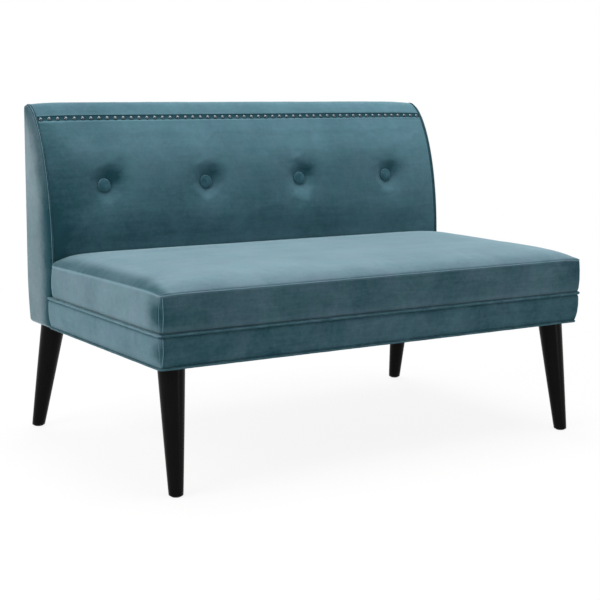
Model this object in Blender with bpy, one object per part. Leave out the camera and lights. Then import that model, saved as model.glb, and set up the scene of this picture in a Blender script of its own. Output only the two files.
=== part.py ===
import math

import bmesh
import bpy
import numpy as np
from mathutils import Vector

# Overall sizes in metres. X is the width, the front faces -Y, and the floor is Z = 0.
WIDTH = 1.270
SEAT_DEPTH = 0.6005
BACK_DEPTH = 0.1495
SEAT_SEAM_ABOVE_WELT = 0.0915
BACK_EDGE_ABOVE_SEAM = 0.3945

# Fits between neighbours
GAP = 0.0003
COVER_SPACE = 0.003

# Legs
LEG_LENGTH = 0.2980
LEG_TOP_RADIUS = 0.0325
LEG_FOOT_RADIUS = 0.0172
LEG_FOOT_CHAMFER = 0.0020
LEG_INSET_SIDE_FRONT = 0.053
LEG_INSET_SIDE_REAR = 0.054
LEG_INSET_FRONT = 0.046
LEG_INSET_REAR = 0.0495
LEG_SPLAY_SIDE_FRONT = 0.013
LEG_SPLAY_SIDE_REAR = 0.024
LEG_SPLAY_FRONT = 0.0463
LEG_SPLAY_REAR = 0.0618
GLIDE_THICKNESS = 0.0025
GLIDE_RADIUS = 0.0125
GLIDE_EDGE = 0.0008
LEG_BOLT_RADIUS = 0.0040
LEG_BOLT_IN_LEG = 0.032
LEG_BOLT_IN_BLOCK = 0.038
BOLT_CLEARANCE = 0.0004

# Seat frame
RAIL_HEIGHT = 0.069
RAIL_THICKNESS = 0.022
RAIL_CORNER_CHAMFER = 0.005
STRETCHER_WIDTH = 0.045
STRETCHER_HEIGHT = 0.040
BLOCK_LENGTH = 0.105
BLOCK_HEIGHT = 0.058
BLOCK_END_WIDTH = 0.030
SPRING_COUNT = 6
SPRING_WIRE_RADIUS = 0.0018
SPRING_WIDTH = 0.050
SPRING_BARS = 19
SPRING_SEAT = 0.011
SPRING_SIDE_MARGIN = 0.090
INSULATOR_THICKNESS = 0.003
INSULATOR_MARGIN = 0.010
DUST_COVER_THICKNESS = 0.0010
DUST_COVER_MARGIN = 0.010
LEG_NOTCH_MARGIN = 0.006

# Seat pad and the band under it
BAND_THICKNESS = 0.0077
BAND_CROWN = 0.0050
BAND_DRAWN_IN = 0.0025
BAND_INNER_CORNER = 0.0030
MID_WELT_RADIUS = 0.0037
BASE_WELT_RADIUS = 0.0033
WELT_PROUD = 0.0070
BOXING_THICKNESS = 0.0040
BOXING_BULGE = 0.0030
BOXING_LIFT = 0.0011
SEAT_PAD_PROUD = 0.0025
SEAT_COVER_THICKNESS = 0.0030
SEAT_CROWN = 0.0280
SEAT_CROWN_REACH = 0.033
SEAT_CROWN_POWER = 0.85
SEAT_LEVEL_INSET = 0.230
SEAT_REAR_DROP = 0.40
SEAT_REAR_DROP_REACH = 0.120
SEAT_FRONT_CORNER = 0.006
SEAT_REAR_CORNER = 0.026
SEAT_CORNER_DIP = 0.0025
SEAT_CORNER_DIP_REACH = 0.030
SEAT_SIDE_SAG = 0.0090
SEAT_SIDE_SAG_REACH = 0.050
SEAT_SIDE_SAG_POWER = 1.5

# Back unit
BACK_CURVE_BELOW_SEAM = 0.0165
BACK_CURVE_POWER = 0.55
BACK_LEAN_SHARE = 0.03
BACK_TOP_RADIUS = 0.0070
BACK_TOP_CROWN = 0.0075
BACK_TOP_CROWN_DEPTH = 0.0645
BACK_REAR_DRAWN_IN = 0.014
BACK_REAR_DRAW_HEIGHT = 0.150
BACK_FACE_BULGE = 0.006
BACK_BULGE_REACH = 0.085
FACE_ROW_ABOVE_SEAM = 0.075
FACE_ROW_ABOVE_BUTTON = 0.110
FACE_ROW_BELOW_NAILS = 0.028
BACK_COVER_THICKNESS = 0.0020
BACK_FOAM_DEPTH = 0.0345
BACK_COVER_TUCK = 0.015
BACK_PANEL_THICKNESS = 0.022
BACK_REAR_CLEARANCE = 0.0045
FRAME_CORNER_ABOVE_SEAM = 0.028
FRAME_CORNER_BELOW_BUTTON = 0.060
FRAME_CORNER_ABOVE_BUTTON = 0.034
SIDE_PAD_THICKNESS = 0.0075
SIDE_PAD_CROWN = 0.0015
SIDE_PAD_CORE_MARGIN = 0.040
EDGE_WELT_WIDTH = 0.0068
EDGE_WELT_PROUD = 0.0012
WEB_WIDTH = 0.050
WEB_THICKNESS = 0.0015
WEB_END_MARGIN = 0.003
WEB_LOWER_ABOVE_SEAM = 0.005
WEB_MIDDLE_ABOVE_SEAM = 0.085
WEB_UPPER_ABOVE_BUTTON = 0.085
TOP_RAIL_THICKNESS = 0.028
TOP_RAIL_HEIGHT = 0.058
TOP_RAIL_BELOW_EDGE = 0.023
SHOULDER_RISE = 0.032
TUFT_RAIL_HEIGHT = 0.060
TUFT_RAIL_THICKNESS = 0.018
BACK_RAIL_THICKNESS = 0.020
OUTSIDE_COVER_CROWN = 0.003
OUTSIDE_COVER_LIFT = 0.001

# Buttons, nail heads and the bolts between the two units
BUTTON_COUNT = 4
BUTTON_END_MARGIN = 0.176
BUTTON_ABOVE_SEAM = 0.1925
BUTTON_RADIUS = 0.0180
BUTTON_THICKNESS = 0.0085
TUFT_DEPTH = 0.0200
TUFT_REACH = 0.034
TUFT_FLAT_SHARE = 0.9
TWINE_RADIUS = 0.0010
TWINE_CLEARANCE = 0.0005
NAIL_COUNT = 53
NAIL_BELOW_EDGE = 0.0357
NAIL_RADIUS = 0.0056
NAIL_HEIGHT = 0.0034
NAIL_STRIP_THICKNESS = 0.0010
NAIL_END_MARGIN = 0.0084
CHANNEL_HALF_WIDTH = 0.0068
CHANNEL_DEPTH = 0.0012
CHANNEL_LIP = 0.0006
CHANNEL_MARGIN = 0.012
UNIT_BOLT_END_MARGIN = 0.185
UNIT_BOLT_RADIUS = 0.0040
UNIT_BOLT_HEAD_RADIUS = 0.0072
UNIT_BOLT_HEAD_HEIGHT = 0.0053
UNIT_BOLT_END = 0.004

# Heights that follow from the sizes above
RAIL_BOTTOM = GLIDE_THICKNESS + LEG_LENGTH + 2 * GAP
RAIL_TOP = RAIL_BOTTOM + RAIL_HEIGHT
SPRING_Z = RAIL_TOP + GAP + SPRING_WIRE_RADIUS
INSULATOR_BOTTOM = SPRING_Z + SPRING_WIRE_RADIUS + GAP
FOAM_BOTTOM = INSULATOR_BOTTOM + INSULATOR_THICKNESS + GAP
BOXING_BOTTOM = FOAM_BOTTOM + BOXING_LIFT
WELT_Z = BOXING_BOTTOM - GAP - MID_WELT_RADIUS
BAND_TOP = WELT_Z - MID_WELT_RADIUS - GAP
BAND_BOTTOM = RAIL_BOTTOM - GAP
BASE_WELT_Z = BAND_BOTTOM - GAP - BASE_WELT_RADIUS
SEAM_Z = WELT_Z + SEAT_SEAM_ABOVE_WELT
BACK_EDGE_Z = SEAM_Z + BACK_EDGE_ABOVE_SEAM
BACK_CURVE_Z = SEAM_Z - BACK_CURVE_BELOW_SEAM
PAD_BOTTOM = BASE_WELT_Z - BASE_WELT_RADIUS
COVER_BOTTOM = RAIL_TOP + BACK_COVER_TUCK
BUTTON_Z = SEAM_Z + BUTTON_ABOVE_SEAM
NAIL_Z = BACK_EDGE_Z - NAIL_BELOW_EDGE

# Places across and along, from the same sizes
HALF = WIDTH / 2
BODY_DEPTH = SEAT_DEPTH + BACK_DEPTH
FRONT_OVERHANG = LEG_SPLAY_FRONT + LEG_FOOT_RADIUS - LEG_INSET_FRONT
REAR_OVERHANG = LEG_SPLAY_REAR + LEG_FOOT_RADIUS - LEG_INSET_REAR
FRONT_Y = (FRONT_OVERHANG - REAR_OVERHANG - BODY_DEPTH) / 2
REAR_Y = FRONT_Y + BODY_DEPTH
BACK_FACE_Y = FRONT_Y + SEAT_DEPTH
BACK_LEAN = REAR_Y - BACK_TOP_RADIUS - BACK_FACE_Y
RAIL_FACE_X = HALF - BAND_THICKNESS - GAP
RAIL_FACE_Y = FRONT_Y + BAND_THICKNESS + GAP
RAIL_INNER_X = RAIL_FACE_X - RAIL_THICKNESS
PAD_INNER_X = HALF - SIDE_PAD_THICKNESS
PANEL_OUTER_X = PAD_INNER_X - GAP
PANEL_INNER_X = PANEL_OUTER_X - BACK_PANEL_THICKNESS
EDGE_WELT_OUTER_X = PAD_INNER_X - GAP
EDGE_WELT_INNER_X = EDGE_WELT_OUTER_X - EDGE_WELT_WIDTH
COVER_HALF = EDGE_WELT_INNER_X - GAP
FOAM_HALF = PANEL_OUTER_X
SEAT_REAR_Y = BACK_FACE_Y - GAP - BOXING_BULGE
BACK_RAIL_Y = BACK_FACE_Y + COVER_SPACE + GAP
SEAT_RAIL_REAR_Y = BACK_RAIL_Y - GAP


def clear_scene():
    for scene_object in list(bpy.data.objects):
        bpy.data.objects.remove(scene_object, do_unlink=True)


def make_material(name, color, roughness, metallic=0.0):
    material = bpy.data.materials.new(name)
    material.use_nodes = True
    shader = material.node_tree.nodes["Principled BSDF"]
    shader.inputs["Base Color"].default_value = (*color, 1.0)
    shader.inputs["Roughness"].default_value = roughness
    shader.inputs["Metallic"].default_value = metallic
    material.diffuse_color = (*color, 1.0)
    return material


def finish_mesh(name, mesh_data, material, smooth_angle=None):
    """Turn a bmesh into a named object with outward faces."""
    bmesh.ops.recalc_face_normals(mesh_data, faces=mesh_data.faces)
    mesh = bpy.data.meshes.new(name)
    mesh_data.to_mesh(mesh)
    mesh_data.free()
    mesh.materials.append(material)
    if smooth_angle is not None:
        mesh.shade_smooth()
        mesh.set_sharp_from_angle(angle=math.radians(smooth_angle))
    part = bpy.data.objects.new(name, mesh)
    bpy.context.scene.collection.objects.link(part)
    return part


def diagonal_key(vertex):
    return vertex.co.x + 0.61 * vertex.co.y + 0.37 * vertex.co.z


def add_patch(mesh_data, corners, split):
    """Add a quad, or its two triangles cut alike on every layer of a stack of soft sheets."""
    if not split:
        mesh_data.faces.new(corners)
        return
    start = min(range(4), key=lambda i: diagonal_key(corners[i]))
    a, b, c, d = (corners[(start + i) % 4] for i in range(4))
    mesh_data.faces.new((a, b, c))
    mesh_data.faces.new((a, c, d))


def loft(name, rings, material, smooth_angle=35, closed=False, split=False):
    """Skin a list of closed rings with equal counts, and cap both ends unless the loft is closed."""
    mesh_data = bmesh.new()
    rows = [[mesh_data.verts.new(point) for point in ring] for ring in rings]
    count = len(rows[0])
    pairs = list(zip(rows, rows[1:]))
    if closed:
        pairs.append((rows[-1], rows[0]))
    for first, second in pairs:
        for i in range(count):
            j = (i + 1) % count
            add_patch(mesh_data, (first[i], first[j], second[j], second[i]), split)
    if not closed:
        mesh_data.faces.new(list(reversed(rows[0])))
        mesh_data.faces.new(rows[-1])
    return finish_mesh(name, mesh_data, material, smooth_angle)


def prism(name, outline, axis, low, high, material):
    """Extrude a flat outline along X, Y or Z between two places."""
    def place(point, depth):
        values = list(point)
        values.insert("xyz".index(axis), depth)
        return tuple(values)
    rings = [[place(point, depth) for point in outline] for depth in (low, high)]
    return loft(name, rings, material, None)


def box(name, low, high, material, bevel=0.0):
    outline = [(low[0], low[1]), (high[0], low[1]), (high[0], high[1]), (low[0], high[1])]
    part = prism(name, outline, "z", low[2], high[2], material)
    if bevel > 0:
        edge = part.modifiers.new("Soft edges", "BEVEL")
        edge.width = bevel
        edge.segments = 1
    return part


def turned(name, stations, sides, material, smooth_angle=40):
    """Round solid from stations (x, y, z, radius); the first and last stations are its end faces."""
    rings = []
    for x, y, z, radius in stations:
        angles = [2 * math.pi * i / sides for i in range(sides)]
        rings.append([(x + radius * math.cos(a), y + radius * math.sin(a), z) for a in angles])
    return loft(name, rings, material, smooth_angle)


def cut(part, cutter):
    """Subtract a hidden cutter from a part."""
    cutter.hide_render = True
    cutter.display_type = "WIRE"
    hole = part.modifiers.new("Hole", "BOOLEAN")
    hole.operation = "DIFFERENCE"
    hole.solver = "EXACT"
    hole.object = cutter


def rod_along_y(name, x, z, stations, sides, material, smooth_angle=40):
    """Round solid along Y from stations (y, radius)."""
    rings = []
    for y, radius in stations:
        angles = [2 * math.pi * i / sides for i in range(sides)]
        rings.append([(x + radius * math.cos(a), y, z + radius * math.sin(a)) for a in angles])
    return loft(name, rings, material, smooth_angle)


def rod_along_normal(name, x, length, stations, sides, material, smooth_angle=40):
    """Round solid square to the back's surface from stations (distance out, radius)."""
    y, z = profile_point(length)
    normal_y, normal_z = profile_normal(length)
    rings = []
    for out, radius in stations:
        ring = []
        for i in range(sides):
            angle = 2 * math.pi * (i + 0.3) / sides
            across = radius * math.cos(angle)
            up = radius * math.sin(angle)
            place_y = y + normal_y * out + normal_z * up
            place_z = z + normal_z * out - normal_y * up
            ring.append((x + across, place_y, place_z))
        rings.append(ring)
    return loft(name, rings, material, smooth_angle)


def smooth_step(value):
    value = min(max(value, 0.0), 1.0)
    return value * value * (3 - 2 * value)


# The back's section in the Y-Z plane: an upright front that curves over to the rear top edge

def back_front_y(z):
    rise = (z - BACK_CURVE_Z) / (BACK_EDGE_Z - BACK_CURVE_Z)
    rise = min(max(rise, 0.0), 1.0)
    curve = 1 - (1 - rise * rise) ** BACK_CURVE_POWER
    return BACK_FACE_Y + BACK_LEAN * (BACK_LEAN_SHARE * rise + (1 - BACK_LEAN_SHARE) * curve)


def back_rear_y(z):
    drop = (PAD_BOTTOM + BACK_REAR_DRAW_HEIGHT - z) / BACK_REAR_DRAW_HEIGHT
    drop = min(max(drop, 0.0), 1.0)
    return REAR_Y - BACK_REAR_DRAWN_IN * drop * drop


LOW_STEPS = 24
CURVE_STEPS = 400
ARC_STEPS = 40


def dense_profile():
    points = []
    for i in range(LOW_STEPS):
        z = PAD_BOTTOM + (BACK_CURVE_Z - PAD_BOTTOM) * i / LOW_STEPS
        points.append((BACK_FACE_Y, z))
    for i in range(CURVE_STEPS + 1):
        z = BACK_CURVE_Z + (BACK_EDGE_Z - BACK_CURVE_Z) * math.sin(math.pi / 2 * i / CURVE_STEPS)
        points.append((back_front_y(z), z))
    for i in range(1, ARC_STEPS + 1):
        angle = math.pi / 2 * i / ARC_STEPS
        y = REAR_Y - BACK_TOP_RADIUS + BACK_TOP_RADIUS * math.sin(angle)
        points.append((y, BACK_EDGE_Z - BACK_TOP_RADIUS + BACK_TOP_RADIUS * math.cos(angle)))
    points.append((REAR_Y, BACK_EDGE_Z - 3 * BACK_TOP_RADIUS))
    return np.array(points)


PROFILE = dense_profile()
PROFILE_LENGTH = np.concatenate([[0.0], np.cumsum(np.hypot(*np.diff(PROFILE, axis=0).T))])
FRONT_COUNT = LOW_STEPS + CURVE_STEPS + 1
TOP_LENGTH = float(PROFILE_LENGTH[FRONT_COUNT - 1])
ARC_END_LENGTH = float(PROFILE_LENGTH[FRONT_COUNT - 1 + ARC_STEPS])


def profile_point(length):
    y = float(np.interp(length, PROFILE_LENGTH, PROFILE[:, 0]))
    z = float(np.interp(length, PROFILE_LENGTH, PROFILE[:, 1]))
    return y, z


def profile_normal(length):
    step = 0.0008
    y0, z0 = profile_point(length - step)
    y1, z1 = profile_point(length + step)
    size = math.hypot(y1 - y0, z1 - z0)
    return -(z1 - z0) / size, (y1 - y0) / size


def length_at(z):
    """Distance along the profile at a height on its front side."""
    return float(np.interp(z, PROFILE[:FRONT_COUNT, 1], PROFILE_LENGTH[:FRONT_COUNT]))


NAIL_LENGTH = length_at(NAIL_Z)


def top_crown(x, z):
    """Rise of the back's top edge toward the middle of its width."""
    share = 1 - min(abs(x) / HALF, 1.0) ** 14
    return BACK_TOP_CROWN * share * smooth_step((z - BACK_EDGE_Z) / BACK_TOP_CROWN_DEPTH + 1)


def face_bulge(x, z):
    """How far the padded front face stands out, less the pull of the four tufts."""
    side = smooth_step((COVER_HALF - abs(x)) / BACK_BULGE_REACH)
    low = smooth_step((z - SEAM_Z - 0.020) / BACK_BULGE_REACH)
    high = smooth_step((NAIL_Z - CHANNEL_MARGIN - z) / BACK_BULGE_REACH)
    bulge = BACK_FACE_BULGE * side * low * high
    pull = 0.0
    for button_x in button_places():
        beyond = max(math.hypot(x - button_x, z - BUTTON_Z) - TUFT_FLAT_SHARE * BUTTON_RADIUS, 0.0)
        pull = max(pull, math.exp(-(beyond / TUFT_REACH) ** 1.5))
    return bulge - (TUFT_DEPTH + bulge) * pull * low * high


def back_surface(x, length, inset, groove=0.0):
    """Point under the back's outer surface at a distance along the section."""
    y, z = profile_point(length)
    normal_y, normal_z = profile_normal(length)
    out = face_bulge(x, z) if length < NAIL_LENGTH else 0.0
    out -= inset + groove
    return x, y + normal_y * out, z + normal_z * out + top_crown(x, z)


def button_places():
    spacing = 2 * (HALF - BUTTON_END_MARGIN) / (BUTTON_COUNT - 1)
    return [(i - (BUTTON_COUNT - 1) / 2) * spacing for i in range(BUTTON_COUNT)]


def back_columns():
    """X places of the back's sections: close together at the tufts and the ends."""
    near = (BUTTON_RADIUS, 2 * BUTTON_RADIUS, 4.1 * BUTTON_RADIUS)
    places = set()
    for button_x in button_places():
        places.add(round(button_x, 5))
        for offset in near:
            places.add(round(button_x - offset, 5))
            places.add(round(button_x + offset, 5))
    for i in range(BUTTON_COUNT - 1):
        places.add(round((button_places()[i] + button_places()[i + 1]) / 2, 5))
    for margin in (0.0, 0.008, 0.030):
        places.add(round(COVER_HALF - margin, 5))
        places.add(round(-COVER_HALF + margin, 5))
    return sorted(places)


def face_rows():
    """Lengths along the section of the rows of the inside cover, up to the nail channel."""
    heights = [COVER_BOTTOM, SEAM_Z + FRAME_CORNER_ABOVE_SEAM, SEAM_Z + FACE_ROW_ABOVE_SEAM]
    heights += [BUTTON_Z + BUTTON_RADIUS * share for share in (-4.1, -2, -1, 0, 1, 2, 4.1)]
    heights += [BUTTON_Z + FACE_ROW_ABOVE_BUTTON, NAIL_Z - FACE_ROW_BELOW_NAILS]
    return [length_at(z) for z in heights]


def channel_rows():
    """Rows (length, groove) across the recessed channel under the nail heads."""
    low = NAIL_LENGTH - CHANNEL_HALF_WIDTH
    high = NAIL_LENGTH + CHANNEL_HALF_WIDTH
    return [(low - CHANNEL_LIP, 0.0), (low, CHANNEL_DEPTH), (high - GAP, CHANNEL_DEPTH)]


def top_rows():
    start = NAIL_LENGTH + CHANNEL_HALF_WIDTH
    span = TOP_LENGTH - start
    rows = [start + span * share for share in (0.0, 0.35, 0.68, 1.0)]
    arc = ARC_END_LENGTH - TOP_LENGTH
    rows += [TOP_LENGTH + arc * 0.5, ARC_END_LENGTH, ARC_END_LENGTH + BACK_TOP_RADIUS]
    return rows


def make_back_covers(velvet):
    rings = []
    rows = [(length, 0.0) for length in face_rows()] + channel_rows()
    for x in back_columns():
        outer = [back_surface(x, length, 0.0, groove) for length, groove in rows]
        inner = [back_surface(x, length, BACK_COVER_THICKNESS, groove) for length, groove in rows]
        rings.append(outer + inner[::-1])
    inside = loft("back_inside_cover", rings, velvet, 50, split=True)
    rings = []
    for x in back_columns():
        outer = [back_surface(x, length, 0.0) for length in top_rows()]
        inner = [back_surface(x, length, BACK_COVER_THICKNESS) for length in top_rows()]
        rings.append(outer + inner[::-1])
    loft("back_top_cover", rings, velvet, 50, split=True)
    return inside


def make_back_foam(foam_material):
    inset = BACK_COVER_THICKNESS + GAP
    rings = []
    columns = [-FOAM_HALF] + back_columns() + [FOAM_HALF]
    rail_top = BACK_EDGE_Z - TOP_RAIL_BELOW_EDGE + GAP
    rail_front = top_rail_front() - GAP
    shoulder = BACK_EDGE_Z - TOP_RAIL_BELOW_EDGE - TOP_RAIL_HEIGHT
    for x in columns:
        ring = [back_surface(x, length, inset) for length in face_rows()]
        ring += [back_surface(x, length, inset, groove) for length, groove in channel_rows()]
        ring += [back_surface(x, top_rows()[row], inset) for row in (0, 2, 3, 5, 6)]
        rear = REAR_Y - BACK_REAR_CLEARANCE + BACK_COVER_THICKNESS
        ring += [(x, rear, rail_top), (x, rail_front, rail_top)]
        ring += [(x, rail_front, shoulder + SHOULDER_RISE)]
        for z in frame_heights()[:0:-1] + [COVER_BOTTOM]:
            ring.append((x, foam_rear_y(z), z))
        rings.append(ring)
    return loft("back_foam", rings, foam_material, 50, split=True)


def frame_heights():
    """Heights of the corners of the end panels' front edges, which the foam and webbing follow."""
    shoulder = BACK_EDGE_Z - TOP_RAIL_BELOW_EDGE - TOP_RAIL_HEIGHT
    return [COVER_BOTTOM - GAP, SEAM_Z + FRAME_CORNER_ABOVE_SEAM, BUTTON_Z - FRAME_CORNER_BELOW_BUTTON,
            BUTTON_Z, BUTTON_Z + FRAME_CORNER_ABOVE_BUTTON, shoulder]


def frame_line_y(z, setback):
    heights = frame_heights()
    return float(np.interp(z, heights, [back_front_y(height) for height in heights])) + setback


def foam_rear_y(z):
    return frame_line_y(z, BACK_FOAM_DEPTH - GAP)


def panel_front_y(z):
    return frame_line_y(z, BACK_FOAM_DEPTH + WEB_THICKNESS + GAP)


def corners_between(low, high):
    """Two heights and the frame line's corners between them."""
    return [low] + [z for z in frame_heights() if low < z < high] + [high]


def top_rail_front():
    return REAR_Y - BACK_REAR_CLEARANCE - TOP_RAIL_THICKNESS


def make_outside_cover(velvet):
    """Rear cover: a thin sheet over the open frame, a little crowned."""
    top = BACK_EDGE_Z - 2 * BACK_TOP_RADIUS - GAP
    straight = PAD_BOTTOM + BACK_REAR_DRAW_HEIGHT
    heights = [PAD_BOTTOM + OUTSIDE_COVER_LIFT]
    heights += [PAD_BOTTOM + BACK_REAR_DRAW_HEIGHT * share for share in (0.27, 0.6, 1.0)]
    heights += [straight + (top - straight) * share for share in (0.2, 0.42, 0.64, 0.82, 0.93, 1.0)]
    columns = [-1.0, -0.93, -0.7, -0.35, 0.0, 0.35, 0.7, 0.93, 1.0]
    rings = []
    for share in columns:
        x = share * PANEL_OUTER_X
        outer = []
        inner = []
        for z in heights:
            across = 1 - abs(share) ** 3
            along = math.sin(math.pi * (z - heights[0]) / (top - heights[0]))
            crown = OUTSIDE_COVER_CROWN * across * along
            y = back_rear_y(z) + crown
            outer.append((x, y, z + top_crown(x, z)))
            inner.append((x, y - BACK_COVER_THICKNESS, z + top_crown(x, z)))
        rings.append(outer + inner[::-1])
    loft("back_outside_cover", rings, velvet, 50, split=True)


def pad_outline():
    """Closed outline of the back's end in Y-Z: front, over the top, and down the rear."""
    rise = NAIL_Z - SEAM_Z
    rows = [0.0, length_at(BAND_TOP)]
    rows += [length_at(SEAM_Z + rise * share) for share in (0.08, 0.36, 0.53, 0.7, 0.83, 0.95, 1.0)]
    outline = [profile_point(length) for length in rows + top_rows()[1:6]]
    straight = PAD_BOTTOM + BACK_REAR_DRAW_HEIGHT
    heights = [straight + (NAIL_Z - straight) * share for share in (0.95, 0.57, 0.07)]
    heights += [PAD_BOTTOM + BACK_REAR_DRAW_HEIGHT * share for share in (0.73, 0.33, 0.0)]
    return outline + [(back_rear_y(z), z) for z in heights]


def make_side_pads(velvet):
    low = PAD_BOTTOM + SIDE_PAD_CORE_MARGIN
    high = NAIL_Z - SIDE_PAD_CORE_MARGIN
    steps = ((0.0, 0.0), (0.45, 0.003), (0.78, 0.014), (0.95, 0.045))
    for name, sign in (("left", -1), ("right", 1)):
        rings = []
        stations = [(PAD_INNER_X + SIDE_PAD_THICKNESS * share, shrink) for share, shrink in steps]
        stations += [(HALF, 0.11), (HALF + SIDE_PAD_CROWN, 0.5)]
        for x, shrink in stations:
            ring = []
            for y, z in pad_outline():
                core_z = min(max(z, low), high)
                core_y = (back_front_y(core_z) + back_rear_y(core_z)) / 2
                ring.append((sign * x, y + (core_y - y) * shrink, z + (core_z - z) * shrink))
            rings.append(ring)
        loft("back_side_pad_" + name, rings, velvet, 50, split=True)


def make_edge_welts(velvet):
    """Double seam band along each curved front edge, over the top to the rear."""
    rows = [0.0] + face_rows() + [length for length, groove in channel_rows()] + top_rows()
    proud = EDGE_WELT_PROUD
    section = ((0.0, 0.0), (0.12, proud), (0.36, proud), (0.5, proud / 6), (0.64, proud), (0.88, proud))
    section += ((1.0, 0.0), (1.0, -BACK_COVER_THICKNESS), (0.0, -BACK_COVER_THICKNESS))
    for name, sign in (("left", -1), ("right", 1)):
        rings = []
        for length in rows:
            ring = []
            for share, out in section:
                x = EDGE_WELT_INNER_X + EDGE_WELT_WIDTH * share
                ring.append(back_surface(sign * x, length, -out))
            rings.append(ring)
        loft("back_edge_welt_" + name, rings, velvet, 30, split=True)


def make_buttons(velvet):
    """Domed covered buttons, each with the twine that runs back to the tufting rail."""
    length = length_at(BUTTON_Z)
    seat = GAP - TUFT_DEPTH
    tail = GAP - (panel_front_y(BUTTON_Z) - profile_point(length)[0]) * -profile_normal(length)[0]
    rim = BUTTON_THICKNESS
    stations = [(tail, TWINE_RADIUS), (seat + 0.0002, TWINE_RADIUS), (seat + 0.0012, BUTTON_RADIUS * 0.62),
                (seat + rim * 0.45, BUTTON_RADIUS * 0.97), (seat + rim * 0.62, BUTTON_RADIUS),
                (seat + rim * 0.84, BUTTON_RADIUS * 0.84), (seat + rim * 0.96, BUTTON_RADIUS * 0.5),
                (seat + rim, BUTTON_RADIUS * 0.15)]
    for index, x in enumerate(button_places()):
        rod_along_normal("tuft_button_" + str(index + 1), x, length, stations, 14, velvet, 50)


def cut_twine_holes(parts, hidden):
    radius = TWINE_RADIUS + TWINE_CLEARANCE
    stations = [(-BACK_FOAM_DEPTH - 0.02, radius), (0.03, radius)]
    for index, x in enumerate(button_places()):
        name = "twine_cutter_" + str(index + 1)
        cutter = rod_along_normal(name, x, length_at(BUTTON_Z), stations, 6, hidden)
        for part in parts:
            cut(part, cutter)


def make_nail_strip(nickel):
    """One pressed strip: domed heads joined by short flat links in the recessed channel."""
    y, z = profile_point(NAIL_LENGTH)
    normal_y, normal_z = profile_normal(NAIL_LENGTH)
    pitch = 2 * (COVER_HALF - NAIL_END_MARGIN) / (NAIL_COUNT - 1)
    base = -CHANNEL_DEPTH + GAP
    mesh_data = bmesh.new()
    sides = 8

    def vertex(x, along, out):
        place_y = y + normal_y * out + normal_z * along
        place_z = z + normal_z * out - normal_y * along + top_crown(x, NAIL_Z)
        return mesh_data.verts.new((x, place_y, place_z))

    previous = None
    for index in range(NAIL_COUNT):
        centre = (index - (NAIL_COUNT - 1) / 2) * pitch
        rings = []
        for radius, out in ((NAIL_RADIUS, base), (NAIL_RADIUS, base + NAIL_STRIP_THICKNESS),
                            (NAIL_RADIUS * 0.68, base + NAIL_HEIGHT * 0.82)):
            ring = []
            for i in range(sides):
                angle = math.pi / sides + 2 * math.pi * i / sides
                ring.append(vertex(centre + radius * math.cos(angle), radius * math.sin(angle), out))
            rings.append(ring)
        crest = vertex(centre, 0.0, base + NAIL_HEIGHT)
        mesh_data.faces.new(rings[0])
        for i in range(sides):
            j = (i + 1) % sides
            mesh_data.faces.new((rings[1][i], rings[1][j], rings[2][j], rings[2][i]))
            mesh_data.faces.new((rings[2][i], rings[2][j], crest))
            joins_left = i == 3 and previous is not None
            joins_right = i == 7 and index < NAIL_COUNT - 1
            if not joins_left and not joins_right:
                mesh_data.faces.new((rings[0][i], rings[0][j], rings[1][j], rings[1][i]))
        left = (rings[0][3], rings[0][4], rings[1][4], rings[1][3])
        if previous is not None:
            order = ((0, 1), (1, 2), (2, 3), (3, 0))
            facing = (left[1], left[0], left[3], left[2])
            for a, b in order:
                mesh_data.faces.new((previous[a], previous[b], facing[b], facing[a]))
        previous = (rings[0][7], rings[0][0], rings[1][0], rings[1][7])
    finish_mesh("nail_strip", mesh_data, nickel, 40)


# Frame of the back unit

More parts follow.
